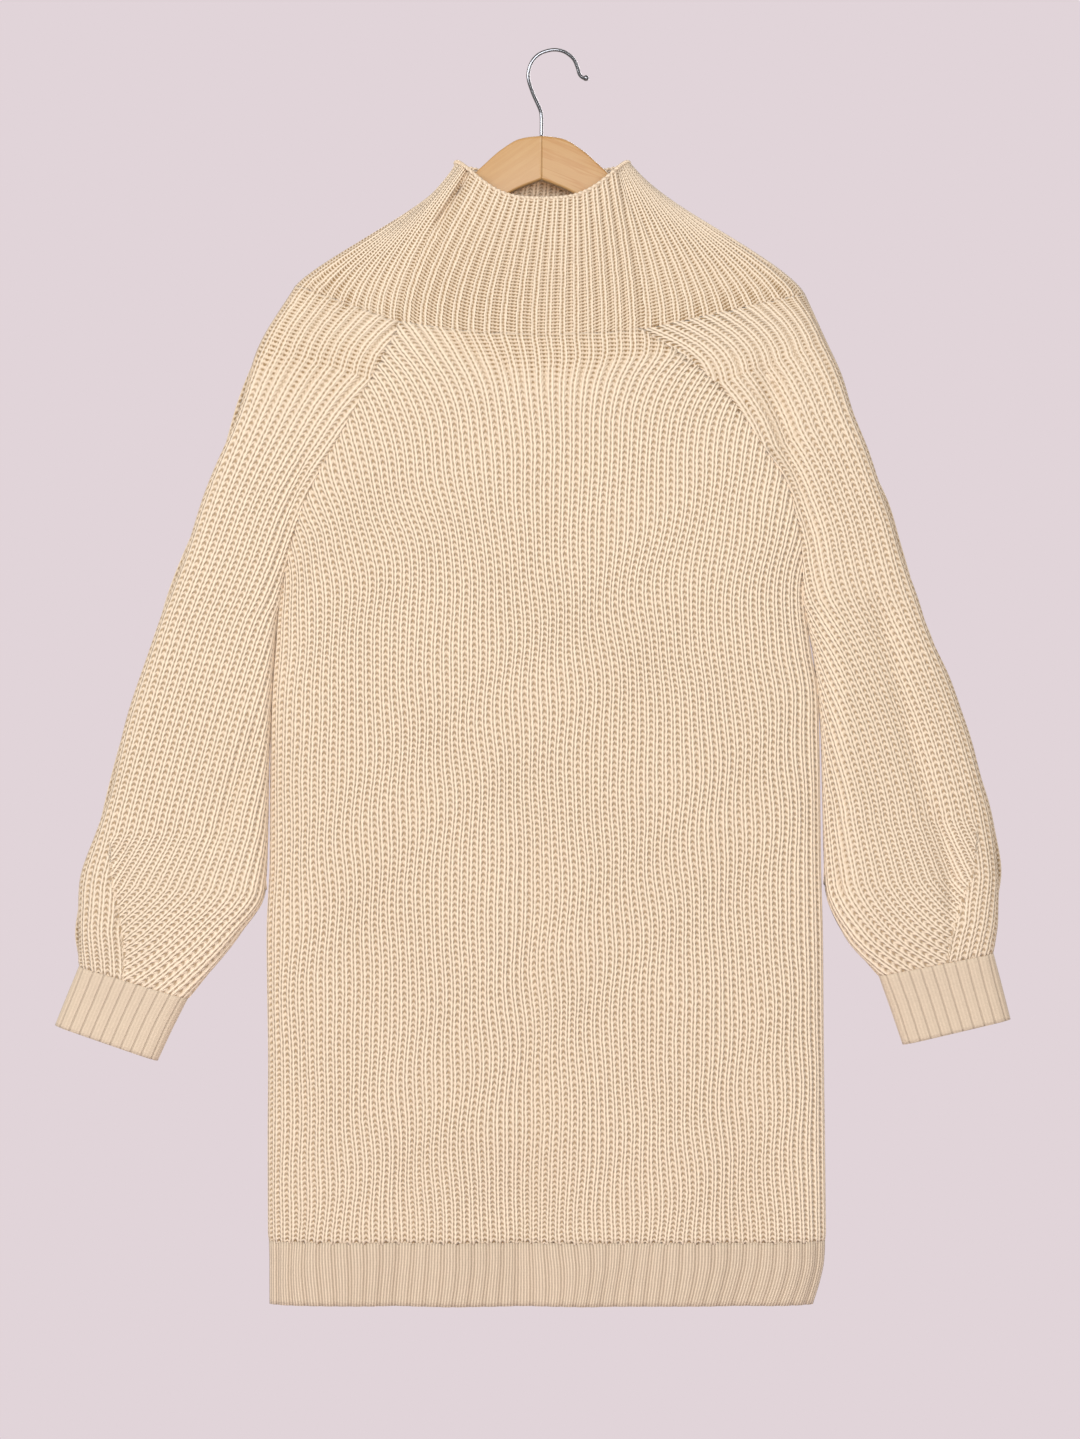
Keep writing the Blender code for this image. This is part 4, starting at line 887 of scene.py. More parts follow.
def cloth_shell(name, base, rise, rib, course, closed, knitted, values):
    """A closed wall of cloth. Its outside is the base moved out along its normals by the ribs'
    rise, its inside is the base moved in by the wall, and both end in a rim; an open grid has
    sides too. rib gives every point's rib number, with one column more on a closed grid, where it
    joins; a face where the number jumps, at a tuck, shows a valley's stitches. The inside's
    stitches are at rest, without the stretched cloth's extra painted shade, which lightens the
    shaded inside of the neck."""
    wall = bpy.context.scene.knit_settings.wall / MM
    rows, columns = base.shape[:2]
    normal = normals(base, closed)
    if (normal[..., 1] * base[..., 1]).sum() < 0.0:
        normal = -normal
    outer = base + normal * rise[..., None]
    kept = np.unique(np.append(np.arange(0, rows, INNER_STEP), rows - 1))
    inner = (base - normal * wall)[kept]
    points = np.concatenate((outer.reshape(-1, 3), inner.reshape(-1, 3)))
    wide_course = np.concatenate((course, course[:, :1]), axis=1) if closed else course
    quads = []
    uv = []
    for base_at, picked, turned in ((0, np.arange(rows), False), (rows * columns, kept, True)):
        r, c = grid_faces(len(picked), columns, closed)
        index = base_at + r * columns + c % columns
        place = np.stack((rib[picked[r], c], wide_course[picked[r], c]), axis=-1)
        jump = np.ptp(place[..., 0], axis=1) > TUCK_JUMP
        first = place[jump, :1]
        same = np.abs(place[jump, :, :1] - first[..., :1]) < TUCK_JUMP
        place[jump] = np.where(same, place[jump], first)
        place[jump, :, 0] = np.round(first[..., 0])
        quads.append(index[:, ::-1] if turned else index)
        uv.append(place[:, ::-1] if turned else place)
    for row, inner_row, turned in ((0, 0, True), (rows - 1, len(kept) - 1, False)):
        c = np.arange(columns if closed else columns - 1)
        n = (c + 1) % columns
        start = rows * columns + inner_row * columns
        index = np.stack((row * columns + c, start + c, start + n, row * columns + n), axis=-1)
        place = np.stack((rib[row][[c, c, c + 1, c + 1]].T,
                          wide_course[row][[c, c, c + 1, c + 1]].T), axis=-1)
        quads.append(index[:, ::-1] if turned else index)
        uv.append(place[:, ::-1] if turned else place)
    more = []
    if not closed:
        for column, turned in ((0, False), (columns - 1, True)):
            for k in range(len(kept) - 1):
                along = np.arange(kept[k], kept[k + 1] + 1)
                start = rows * columns + column
                face = np.concatenate((along * columns + column,
                                       [start + (k + 1) * columns, start + k * columns]))
                rows_of = np.append(along, (kept[k + 1], kept[k]))
                place = np.stack((rib[rows_of, column], course[rows_of, column]), axis=-1)
                more.append(face[::-1] if turned else face)
                uv.append((place[::-1] if turned else place)[None])
    # The inside's stretch is 0, so it is spared the stretched cloth's painted shade.
    spread = {key: np.concatenate((column.ravel(), (column[kept] * (key != "stretch")).ravel()))
              for key, column in values.items()}
    uv = np.concatenate([part.reshape(-1, 2) for part in uv])
    material = shared_material(knitted, knit, *KNITS[knitted])
    rounded = len(quads[0]) + len(quads[1])
    return add_piece(name, points, np.concatenate(quads), more, uv, spread, material, rounded)


def tube(name, rings, along, material, looped=False):
    """A closed rod through rings of points, with a cap on each end. A looped one joins its last
    ring to its first instead."""
    rows, sides = rings.shape[:2]
    r, c = grid_faces(rows + looped, sides, True)
    quads = r % rows * sides + c % sides
    place = np.stack((along[r % rows], c / sides), axis=-1)
    if looped:
        return add_piece(name, rings.reshape(-1, 3), quads, [], place.reshape(-1, 2), {}, material,
                         len(quads))
    caps = [np.arange(sides)[::-1], (rows - 1) * sides + np.arange(sides)]
    turn = round_turn(sides)
    disc = np.stack((0.5 + 0.5 * np.cos(turn), 0.5 + 0.5 * np.sin(turn)), axis=-1)
    uv = np.concatenate((place.reshape(-1, 2), disc[::-1], disc))
    return add_piece(name, rings.reshape(-1, 3), quads, caps, uv, {}, material, len(quads))


# ---------------------------------------------------------------------------------------------
# Materials
# ---------------------------------------------------------------------------------------------

def add(tree, kind, settings, inputs):
    """Adds a node, with its settings and what its inputs hold or are linked to."""
    node = tree.nodes.new(kind)
    for name, value in settings.items():
        setattr(node, name, value)
    for name, value in inputs.items():
        if isinstance(value, bpy.types.NodeSocket):
            tree.links.new(value, node.inputs[name])
        else:
            node.inputs[name].default_value = value
    return node


def work_out(tree, known, rows):
    """Works out a formula from a table: each row is a result's name, an operation and its inputs,
    which are names or numbers. "FALL" goes smoothly from 1 to 0 as its first input goes from the
    second to the third."""
    for name, operation, *given in rows:
        sockets = [known.get(value, value) for value in given]
        if operation == "FALL":
            node = add(tree, "ShaderNodeMapRange", {"interpolation_type": "SMOOTHSTEP"},
                       {0: sockets[0], 1: sockets[1], 2: sockets[2], 3: 1.0, 4: 0.0})
        else:
            node = add(tree, "ShaderNodeMath", {"operation": operation}, dict(enumerate(sockets)))
        known[name] = node.outputs[0]
    return known


def empty_tree(owner):
    """The node tree of a material or a world, with nothing in it."""
    owner.use_nodes = True
    owner.node_tree.nodes.clear()
    return owner.node_tree


# Where a point of the cloth is, in a stitch. Rib and course wobble, as hand-fed yarn does, the
# courses drift up and down across the cloth, and each rib's stitches sit a little higher than its
# neighbour's.
STITCH_PLACE = (
    ("sway", "MULTIPLY_ADD", "noise", "sway by", 0.0),
    ("drift", "MULTIPLY_ADD", "tone", 3.0, -1.5),
    ("lift", "MULTIPLY_ADD", "noise two", 0.4, "drift"),
    ("rib", "ADD", "u", "sway"),
    ("course", "ADD", "v", "lift"),
    ("in rib", "FRACT", "rib"),
    ("signed", "SUBTRACT", "in rib", 0.5),
    ("off", "ABSOLUTE", "signed"),
    ("from crest", "MULTIPLY", "off", "pitch"),
    ("half pitch", "MULTIPLY", "pitch", 0.5),
    ("from valley", "SUBTRACT", "half pitch", "from crest"),
    ("crest number", "FLOOR", "rib"),
    ("crest course", "MULTIPLY_ADD", "crest number", 0.38, "course"),
    ("turn", "MULTIPLY", "crest course", 2.0 * math.pi),
    ("wave", "COSINE", "turn"),
    ("climb", "FRACT", "crest course"),
    ("valley number", "ROUND", "rib"),
    ("valley course", "MULTIPLY_ADD", "valley number", 0.38, "course"),
)
# Half-cardigan rib. On each crest two leaning strands, with a dash of painted shadow between them
# at each course. In the valley, where the cloth is at rest, a column of small arches in painted
# shade with a pale bump under each; where it is pulled wide, a ladder of wavy bars with short gaps
# of painted shade between them.
HALF_CARDIGAN = STITCH_PLACE + (
    ("rest", "SUBTRACT", 1.0, "stretch"),
    ("strand base", "MULTIPLY_ADD", "pitch", 0.12, 0.38),
    ("strand place", "MULTIPLY_ADD", "climb", 0.35, "strand base"),
    ("to strand", "SUBTRACT", "from crest", "strand place"),
    ("strand off", "ABSOLUTE", "to strand"),
    ("strand size", "MULTIPLY_ADD", "rest", 0.25, 1.05),
    ("strand", "FALL", "strand off", 0.25, "strand size"),
    ("slit share", "MULTIPLY_ADD", "stretch", 0.14, 0.36),
    ("slit size", "MULTIPLY", "strand base", "slit share"),
    ("slit swing", "MULTIPLY_ADD", "stretch", 0.4, 0.38),
    ("slit swung", "MULTIPLY_ADD", "wave", "slit swing", "slit size"),
    ("dash", "MAXIMUM", "slit swung", 0.16),
    ("slit", "FALL", "from crest", 0.1, "dash"),
    ("reach", "MULTIPLY", "from valley", 0.2),
    ("arch course", "ADD", "valley course", "reach"),
    ("arch climb", "FRACT", "arch course"),
    ("arch signed", "SUBTRACT", "arch climb", 0.5),
    ("arch off", "ABSOLUTE", "arch signed"),
    ("arch line", "FALL", "arch off", 0.08, 0.32),
    ("arch zone", "FALL", "from valley", 0.8, 2.2),
    ("arch one", "MULTIPLY", "arch line", "arch zone"),
    ("bump line", "FALL", "arch off", 0.5, 0.22),
    ("bump one", "MULTIPLY", "bump line", "arch zone"),
    ("across", "MULTIPLY", "from valley", 2.3),
    ("ripple", "COSINE", "across"),
    ("bar course", "MULTIPLY_ADD", "ripple", 0.07, "course"),
    ("bar climb", "FRACT", "bar course"),
    ("bar signed", "SUBTRACT", "bar climb", 0.5),
    ("bar off", "ABSOLUTE", "bar signed"),
    ("gap size", "MULTIPLY_ADD", "open", 0.14, 0.34),
    ("bar gap", "FALL", "bar off", 0.08, "gap size"),
    ("gap turn", "MULTIPLY", "from valley", 1.85),
    ("gap wave", "COSINE", "gap turn"),
    ("gap mask", "MULTIPLY_ADD", "gap wave", 0.38, 0.68),
    ("zone near", "ADD", "strand base", 0.6),
    ("zone far", "ADD", "strand base", 1.2),
    ("ladder zone", "FALL", "from crest", "zone far", "zone near"),
    ("ladder one", "MULTIPLY", "bar gap", "ladder zone"),
    ("ladder two", "MULTIPLY", "ladder one", "gap mask"),
    ("ladder", "MULTIPLY", "ladder two", "stretch"),
    ("arch", "MULTIPLY", "arch one", "rest"),
    ("bump", "MULTIPLY", "bump one", "rest"),
    ("strand height", "MULTIPLY_ADD", "stretch", -0.2, 0.6),
    ("up one", "MULTIPLY", "strand", "strand height"),
    ("up two", "MULTIPLY_ADD", "bump", 0.5, "up one"),
    ("up three", "MULTIPLY_ADD", "slit", -0.3, "up two"),
    ("up four", "MULTIPLY_ADD", "ladder", -0.6, "up three"),
    ("height", "MULTIPLY_ADD", "arch", -0.45, "up four"),
    # Open stitches deepen the painted shade in the ladder's gaps and in the arches.
    ("opened", "MULTIPLY_ADD", "open", 0.7, 1.0),
    ("dark one", "MULTIPLY", "ladder", "opened"),
    ("dark two", "MULTIPLY_ADD", "slit", 0.7, "dark one"),
    ("holed", "MULTIPLY_ADD", "open", 0.7, 0.65),
    ("arch dark", "MULTIPLY", "arch", "holed"),
    ("dark three", "ADD", "arch dark", "dark two"),
    # Painted shade on all that lies off the strands, and more over the whole of stretched cloth: it
    # darkens the yoke and the sleeve heads, which tilt up towards the key light.
    ("low", "SUBTRACT", 1.0, "strand"),
    ("low dark", "MULTIPLY_ADD", "stretch", 0.06, 0.16),
    ("low shade", "MULTIPLY", "low", "low dark"),
    ("dark four", "MULTIPLY_ADD", "stretch", 0.06, "low shade"),
    ("dark", "ADD", "dark four", "dark three"),
)
# Two-by-two rib of the hem band, in fine yarn: five lines to a rib, two of them lower than the
# rest, with painted shade in the grooves between the lines, a little more on the purl ribs, and the
# band a little darker all over.
HEM_RIB = STITCH_PLACE + (
    ("line turn", "MULTIPLY", "rib", 10.0 * math.pi),
    ("line wave", "COSINE", "line turn"),
    ("line", "MULTIPLY_ADD", "line wave", 0.5, 0.5),
    ("crest", "FALL", "off", 0.24, 0.38),
    ("stitch", "MULTIPLY_ADD", "wave", 0.5, 0.5),
    ("line height", "MULTIPLY_ADD", "crest", 0.12, 0.3),
    ("up one", "MULTIPLY", "line", "line height"),
    ("height", "MULTIPLY_ADD", "stitch", 0.05, "up one"),
    ("groove", "SUBTRACT", 1.0, "line"),
    ("purl", "SUBTRACT", 1.0, "crest"),
    ("dark one", "MULTIPLY_ADD", "groove", 0.52, 0.2),
    ("dark two", "MULTIPLY_ADD", "purl", 0.1, "dark one"),
    ("dark", "MULTIPLY_ADD", "stitch", 0.03, "dark two"),
)
# Rib of the cuffs, drawn in close: broad flat ribs with a narrow painted shadow between them; the
# whole cuff is evenly darker, a little less on the lines along its ribs.
CUFF_RIB = STITCH_PLACE + (
    ("line turn", "MULTIPLY", "rib", 6.0 * math.pi),
    ("line wave", "COSINE", "line turn"),
    ("line", "MULTIPLY_ADD", "line wave", -0.5, 0.5),
    ("stitch", "MULTIPLY_ADD", "wave", 0.5, 0.5),
    ("groove", "FALL", "from valley", 0.2, 1.0),
    ("up one", "MULTIPLY", "line", 0.14),
    ("up two", "MULTIPLY_ADD", "stitch", 0.07, "up one"),
    ("height", "MULTIPLY_ADD", "groove", -0.35, "up two"),
    ("dark one", "MULTIPLY_ADD", "line", -0.1, 0.48),
    ("dark", "MULTIPLY_ADD", "groove", 0.16, "dark one"),
)
# The knits: each one's formula, how far in ribs it sways, and whether it is the bands' close rib.
KNITS = {"half_cardigan_rib": (HALF_CARDIGAN, 0.14, False), "hem_rib": (HEM_RIB, 0.03, True),
         "cuff_rib": (CUFF_RIB, 0.04, True)}
YARN_ROUGHNESS = 0.9
YARN_SHEEN = 0.3
YARN_SHEEN_ROUGHNESS = 0.45
FIBRE_SCALE = 900.0
WOBBLE_SCALE = 160.0
TONE_SCALE = 9.0


def soft_yarn(tree, shade, between, height, reach):
    """The yarn's own surface, matt with a bloom of fibres: it takes the painted shade colour
    between the stitches as shade goes to 1, and stands up by height times reach."""
    yarn = bpy.context.scene.knit_settings.yarn
    colour = add(tree, "ShaderNodeMix", {"data_type": "RGBA", "clamp_factor": True},
                 {0: shade, 6: (*yarn, 1.0), 7: (*between, 1.0)})
    bump = add(tree, "ShaderNodeBump", {}, {"Height": height, "Strength": 1.0, "Distance": reach})
    shader = add(tree, "ShaderNodeBsdfPrincipled", {}, {
        "Base Color": colour.outputs[2], "Normal": bump.outputs[0],
        "Roughness": YARN_ROUGHNESS, "Specular IOR Level": 0.2, "Sheen Weight": YARN_SHEEN,
        "Sheen Roughness": YARN_SHEEN_ROUGHNESS})
    add(tree, "ShaderNodeOutputMaterial", {}, {"Surface": shader.outputs[0]})


def knit(name, formula, sway, banded):
    """Knitted cotton and acrylic yarn, spun soft: pale matt strands with a faint bloom of fibres,
    and warm painted shade between them, a little greyer in the close rib of the bands. sway is how
    far, in ribs, a rib wanders."""
    settings = bpy.context.scene.knit_settings
    between = settings.band_shade if banded else settings.shade
    material = bpy.data.materials.new(name)
    tree = empty_tree(material)
    uv = add(tree, "ShaderNodeUVMap", {"uv_map": "stitches"}, {})
    split = add(tree, "ShaderNodeSeparateXYZ", {}, {0: uv.outputs[0]})
    pitch = add(tree, "ShaderNodeAttribute", {"attribute_name": "pitch"}, {})
    opened = add(tree, "ShaderNodeAttribute", {"attribute_name": "open"}, {})
    stretch = add(tree, "ShaderNodeAttribute", {"attribute_name": "stretch"}, {})
    place = add(tree, "ShaderNodeTexCoord", {}, {})
    wobble = add(tree, "ShaderNodeTexNoise", {}, {"Vector": place.outputs["Object"],
                                                  "Scale": WOBBLE_SCALE, "Detail": 1.0})
    channels = add(tree, "ShaderNodeSeparateXYZ", {}, {0: wobble.outputs["Color"]})
    fibre = add(tree, "ShaderNodeTexNoise", {}, {"Vector": place.outputs["Object"],
                                                 "Scale": FIBRE_SCALE, "Detail": 3.0})
    tone = add(tree, "ShaderNodeTexNoise", {}, {"Vector": place.outputs["Object"],
                                                "Scale": TONE_SCALE, "Detail": 2.0})
    known = {"u": split.outputs[0], "v": split.outputs[1], "pitch": pitch.outputs["Fac"],
             "open": opened.outputs["Fac"], "stretch": stretch.outputs["Fac"],
             "noise": channels.outputs[0], "noise two": channels.outputs[1],
             "tone": tone.outputs["Fac"], "sway by": sway}
    work_out(tree, known, formula)
    # The painted shade, plus random fibre specks and mottling of the yarn's tone, sets how far the
    # colour goes towards the one between the stitches.
    work_out(tree, known, (
        ("depth", "MULTIPLY_ADD", fibre.outputs["Fac"], 0.22, "height"),
        ("speck", "MULTIPLY_ADD", fibre.outputs["Fac"], 0.16, -0.08),
        ("mottle", "MULTIPLY_ADD", tone.outputs["Fac"], 0.08, -0.04),
        ("shade one", "ADD", "dark", "speck"),
        ("shade", "ADD", "shade one", "mottle"),
    ))
    soft_yarn(tree, known["shade"], between, known["depth"], MM)
    return material


def chain_yarn(name):
    """The same soft yarn cast off in a chain: pale loops with a little painted shade where they
    meet.
    """
    settings = bpy.context.scene.knit_settings
    material = bpy.data.materials.new(name)
    tree = empty_tree(material)
    uv = add(tree, "ShaderNodeUVMap", {"uv_map": "stitches"}, {})
    split = add(tree, "ShaderNodeSeparateXYZ", {}, {0: uv.outputs[0]})
    place = add(tree, "ShaderNodeTexCoord", {}, {})
    fibre = add(tree, "ShaderNodeTexNoise", {}, {"Vector": place.outputs["Object"],
                                                 "Scale": FIBRE_SCALE, "Detail": 3.0})
    known = work_out(tree, {}, (
        ("lean", "MULTIPLY_ADD", split.outputs[1], 2.0, split.outputs[0]),
        ("turn", "MULTIPLY", "lean", 2.0 * math.pi),
        ("wave", "COSINE", "turn"),
        ("loop", "MULTIPLY_ADD", "wave", 0.5, 0.5),
        ("height", "MULTIPLY_ADD", "loop", 0.5, fibre.outputs["Fac"]),
        # Painted shade where the loops meet.
        ("gap", "SUBTRACT", 1.3, "loop"),
        ("dark", "MULTIPLY", "gap", 0.36),
    ))
    soft_yarn(tree, known["dark"], settings.shade, known["height"], MM * 0.5)
    return material


def wood(name, slant, contrast):
    """Lotus wood, sanded and clear-lacquered: pale and satin, with grain lines 3 to 5 mm apart that
    slant across the arm, plainer on one arm than on the other, and fine pores along them."""
    settings = bpy.context.scene.hanger_settings
    material = bpy.data.materials.new(name)
    tree = empty_tree(material)
    place = add(tree, "ShaderNodeTexCoord", {}, {})
    turned = add(tree, "ShaderNodeMapping", {"vector_type": "TEXTURE"}, {
        "Vector": place.outputs["Object"], "Rotation": (0.0, slant, 0.0),
        "Scale": GRAIN_SIZE})
    band = add(tree, "ShaderNodeTexNoise", {}, {"Vector": turned.outputs[0], "Scale": 1.0,
                                                "Detail": 2.0, "Distortion": 0.25})
    fine = add(tree, "ShaderNodeMapping", {"vector_type": "TEXTURE"}, {
        "Vector": place.outputs["Object"], "Rotation": (0.0, slant, 0.0),
        "Scale": PORE_SIZE})
    pores = add(tree, "ShaderNodeTexNoise", {}, {"Vector": fine.outputs[0], "Scale": 1.0,
                                                 "Detail": 2.0})
    known = work_out(tree, {}, (
        ("middle", "SUBTRACT", band.outputs["Fac"], 0.5),
        ("off", "ABSOLUTE", "middle"),
        ("line", "FALL", "off", 0.0, 0.085),
        ("line shade", "MULTIPLY", "line", contrast),
        ("wide", "MULTIPLY_ADD", band.outputs["Fac"], 0.5, "line shade"),
        ("pore", "MULTIPLY_ADD", pores.outputs["Fac"], 0.4, -0.28),
        ("grain", "ADD", "wide", "pore"),
        ("depth", "MULTIPLY", "grain", -0.03),
    ))
    colour = add(tree, "ShaderNodeMix", {"data_type": "RGBA", "clamp_factor": True},
                 {0: known["grain"], 6: (*settings.pale_wood, 1.0), 7: (*settings.dark_wood, 1.0)})
    bump = add(tree, "ShaderNodeBump", {}, {"Height": known["depth"], "Strength": 1.0,
                                            "Distance": MM})
    shader = add(tree, "ShaderNodeBsdfPrincipled", {}, {
        "Base Color": colour.outputs[2], "Normal": bump.outputs[0], "Roughness": 0.42,
        "Specular IOR Level": 0.4, "Coat Weight": 0.2, "Coat Roughness": 0.3})
    add(tree, "ShaderNodeOutputMaterial", {}, {"Surface": shader.outputs[0]})
    return material


def plated_wire(name):
    """Nickel-plated steel wire, drawn and polished: a bright mirror with faint marks along it, its
    colour darkened by painted shade for the dim room it would reflect.
    """
    material = bpy.data.materials.new(name)
    tree = empty_tree(material)
    uv = add(tree, "ShaderNodeUVMap", {"uv_map": "stitches"}, {})
    drawn = add(tree, "ShaderNodeMapping", {}, {"Vector": uv.outputs[0],
                                                "Scale": (0.25, 14.0, 1.0)})
    marks = add(tree, "ShaderNodeTexNoise", {}, {"Vector": drawn.outputs[0], "Scale": 3.0,
                                                 "Detail": 3.0})
    known = work_out(tree, {}, (
        ("gloss", "MULTIPLY_ADD", marks.outputs["Fac"], 0.16, 0.06),
        ("dull", "MULTIPLY", marks.outputs["Fac"], 0.25),
    ))
    colour = add(tree, "ShaderNodeMix", {"data_type": "RGBA"}, {
        0: known["dull"], 6: (*linear(NICKEL), 1.0), 7: (*linear(DULL_NICKEL), 1.0)})
    shader = add(tree, "ShaderNodeBsdfPrincipled", {}, {
        "Base Color": colour.outputs[2], "Metallic": 1.0, "Roughness": known["gloss"]})
    add(tree, "ShaderNodeOutputMaterial", {}, {"Surface": shader.outputs[0]})
    return material


def pale_room():
    """The room's light: the backdrop's colour as seen, and a warm light on the dress that is weaker
    from the front, where the lamps are."""
    settings = bpy.context.scene.stage_settings
    world = bpy.data.worlds.new("pale_room")
    tree = empty_tree(world)
    way = add(tree, "ShaderNodeTexCoord", {}, {})
    split = add(tree, "ShaderNodeSeparateXYZ", {}, {0: way.outputs["Generated"]})
    known = work_out(tree, {}, (
        ("front", "FALL", split.outputs[1], -0.6, 0.5),
        ("strength", "MULTIPLY_ADD", "front", -0.3, settings.room),
    ))
    seen = add(tree, "ShaderNodeBackground", {}, {"Color": (*settings.backdrop, 1.0)})
    light = add(tree, "ShaderNodeBackground", {}, {"Color": (*linear(ROOM_LIGHT), 1.0),
                                                   "Strength": known["strength"]})
    path = add(tree, "ShaderNodeLightPath", {}, {})
    mixed = add(tree, "ShaderNodeMixShader", {}, {0: path.outputs["Is Camera Ray"],
                                                  1: light.outputs[0], 2: seen.outputs[0]})
    add(tree, "ShaderNodeOutputWorld", {}, {"Surface": mixed.outputs[0]})
    return world


def painted_board(name):
    """Matt painted board: smooth and pale, with a very faint roller texture."""
    material = bpy.data.materials.new(name)
    tree = empty_tree(material)
    place = add(tree, "ShaderNodeTexCoord", {}, {})
    roller = add(tree, "ShaderNodeTexNoise", {}, {"Vector": place.outputs["Object"],
                                                  "Scale": 400.0})
    bump = add(tree, "ShaderNodeBump", {}, {"Height": roller.outputs["Fac"], "Strength": 0.2,
                                            "Distance": 0.0001})
    backdrop = bpy.context.scene.stage_settings.backdrop
    shader = add(tree, "ShaderNodeBsdfPrincipled", {}, {
        "Base Color": (*backdrop, 1.0), "Normal": bump.outputs[0], "Roughness": 0.8,
        "Specular IOR Level": 0.2})
    add(tree, "ShaderNodeOutputMaterial", {}, {"Surface": shader.outputs[0]})
    return material


# ---------------------------------------------------------------------------------------------
# Pieces
# ---------------------------------------------------------------------------------------------

def shared_material(name, make, *given):
    """The material of that name, made the first time it is asked for."""
    return bpy.data.materials.get(name) or make(name, *given)


def settle(piece, nodes):
    """The piece rides on the part's one body and stands for its solids."""
    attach(piece, "root")
    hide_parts(*nodes)


def panel_course(z):
    """The number of courses up to a height: the sum of steps, each divided by its course's
    height."""
    at = np.linspace(PANEL_COURSES[0][0], PANEL_COURSES[-1][0], 400)
    heights, courses = zip(*PANEL_COURSES)
    size = np.interp(at, heights, courses)
    count = np.concatenate(([0.0], np.cumsum(np.diff(at) / ((size[1:] + size[:-1]) / 2.0))))
    return np.interp(z, at, count)


def forms():
    panels = PanelForm()
    return panels, {"left": SleeveForm(SLEEVE_LEVELS_LEFT, "left", panels),
                    "right": SleeveForm(SLEEVE_LEVELS_RIGHT, "right", panels)}


def sleeve_base(form):
    """The sleeve's grid of points, its ribs and its courses. Each rib runs from the cuff seam up
    to where it ends, at the yoke seam or at a raglan seam. At the underarm each row is moved, a
    few times over, halfway to the middle of the rows beside it."""
    rib = np.arange(-SLEEVE_RIBS, SLEEVE_RIBS, 1.0 / COLUMNS_PER_RIB)
    top = form.top_level(rib)
    rows = np.linspace(0.0, 1.0, SLEEVE_ROWS)
    end = form.length[-1]
    along = end + (np.interp(top, form.levels, form.length) - end) * rows[:, None]
    level = np.interp(along, form.length, form.levels)
    level[-1] = top
    limit = form.value("ribs", level)
    free = loose(rib, limit, SLEEVE_FREE_RIBS) * (1.0 - ease(np.abs(rib) / SLEEVE_FREE_RIBS))
    free = free * ease((level - SLEEVE_FREE_START) / SLEEVE_FREE_LEVELS)
    points = wave(fold(form.point(rib[None, :], level)), free * ease(SLEEVE_END - level))
    near = np.exp(-((level[1:-1, :, None] - SLEEVE_UNDERARM) / UNDERARM_REACH) ** 2)
    for _ in range(UNDERARM_PASSES):
        points[1:-1] += near * (points[:-2] + points[2:] - 2.0 * points[1:-1]) / 4.0
    levels, courses = zip(*SLEEVE_COURSES)
    size = np.interp(form.levels, levels, courses)
    steps = np.diff(form.length, prepend=0.0) / size
    return points, rib, -np.interp(along, form.length, np.cumsum(steps)), level


def gathered_ribs(rib, level, form, head):
    """The rib and course numbers seen on a sleeve. Below the shoulder more ribs are seen than the
    form has. Where the fullness is gathered, the ribs outside the tuck's line run along the outer
    edge; inside it they slant in from the inner edge and end at the tuck. Returns both, and where
    the inner ones are seen."""
    level = np.concatenate((level, level[:, :1]), axis=1)
    limit = form.value("ribs", level)
    reach = np.abs(rib)[None, :]
    from_edge = np.maximum(limit - reach, 0.0)
    at, outside, inside, turned_in, tuck, lean = zip(*GATHERS)
    outer = reach * np.interp(level, at, outside) * np.interp(level, np.arange(len(head)), head)
    inner = limit + np.interp(level, at, turned_in) - from_edge * np.interp(level, at, inside)
    width = np.hypot(form.value("x_out", level) - form.value("x_in", level),
                     form.value("z_out", level) - form.value("z_in", level))
    extra = -np.interp(level, at, lean) * width * from_edge / limit / SLEEVE_COURSES[-1][1]
    turned = (level > at[0]) & (from_edge < limit * (1.0 - np.interp(level, at, tuck)))
    return outer, inner, extra, turned


def raglan_rise(level):
    """How much of the ribs' rise is left at a raglan seam: most of it high up, where the seam lies
    flat, and none low down, where it sinks between the sleeve and the side."""
    return np.interp(level, RAGLAN_LEVELS, RAGLAN_SHARES)


def lapped(points, rows):
    """The same grid, with its first or last row moved on along the ribs, past the seam."""
    moved = points.copy()
    for row in rows:
        step = points[row] - points[row + 1 if row == 0 else row - 1]
        length = np.maximum(np.linalg.norm(step, axis=-1, keepdims=True), 1e-6)
        moved[row] += step / length * LAP
    return moved


def meet_raglan(points, rib, edge_points, edge_rib, side, face):
    """Lays a panel's raglan edge along the sleeve's edge."""
    edge = edge_points[-1][(np.sign(edge_rib) == -face) & (np.abs(edge_rib) >= SHOULDER_RIBS)]
    edge = edge[np.argsort(-edge[:, 2])]
    mine = (rib * side > CROWN_RIBS - 0.01) & (np.abs(rib) < BODY_RIBS)
    z = points[-1, mine, 2]
    points[-1, mine, 0] = np.interp(-z, -edge[:, 2], edge[:, 0])
    points[-1, mine, 1] = np.interp(-z, -edge[:, 2], edge[:, 1])
    return points


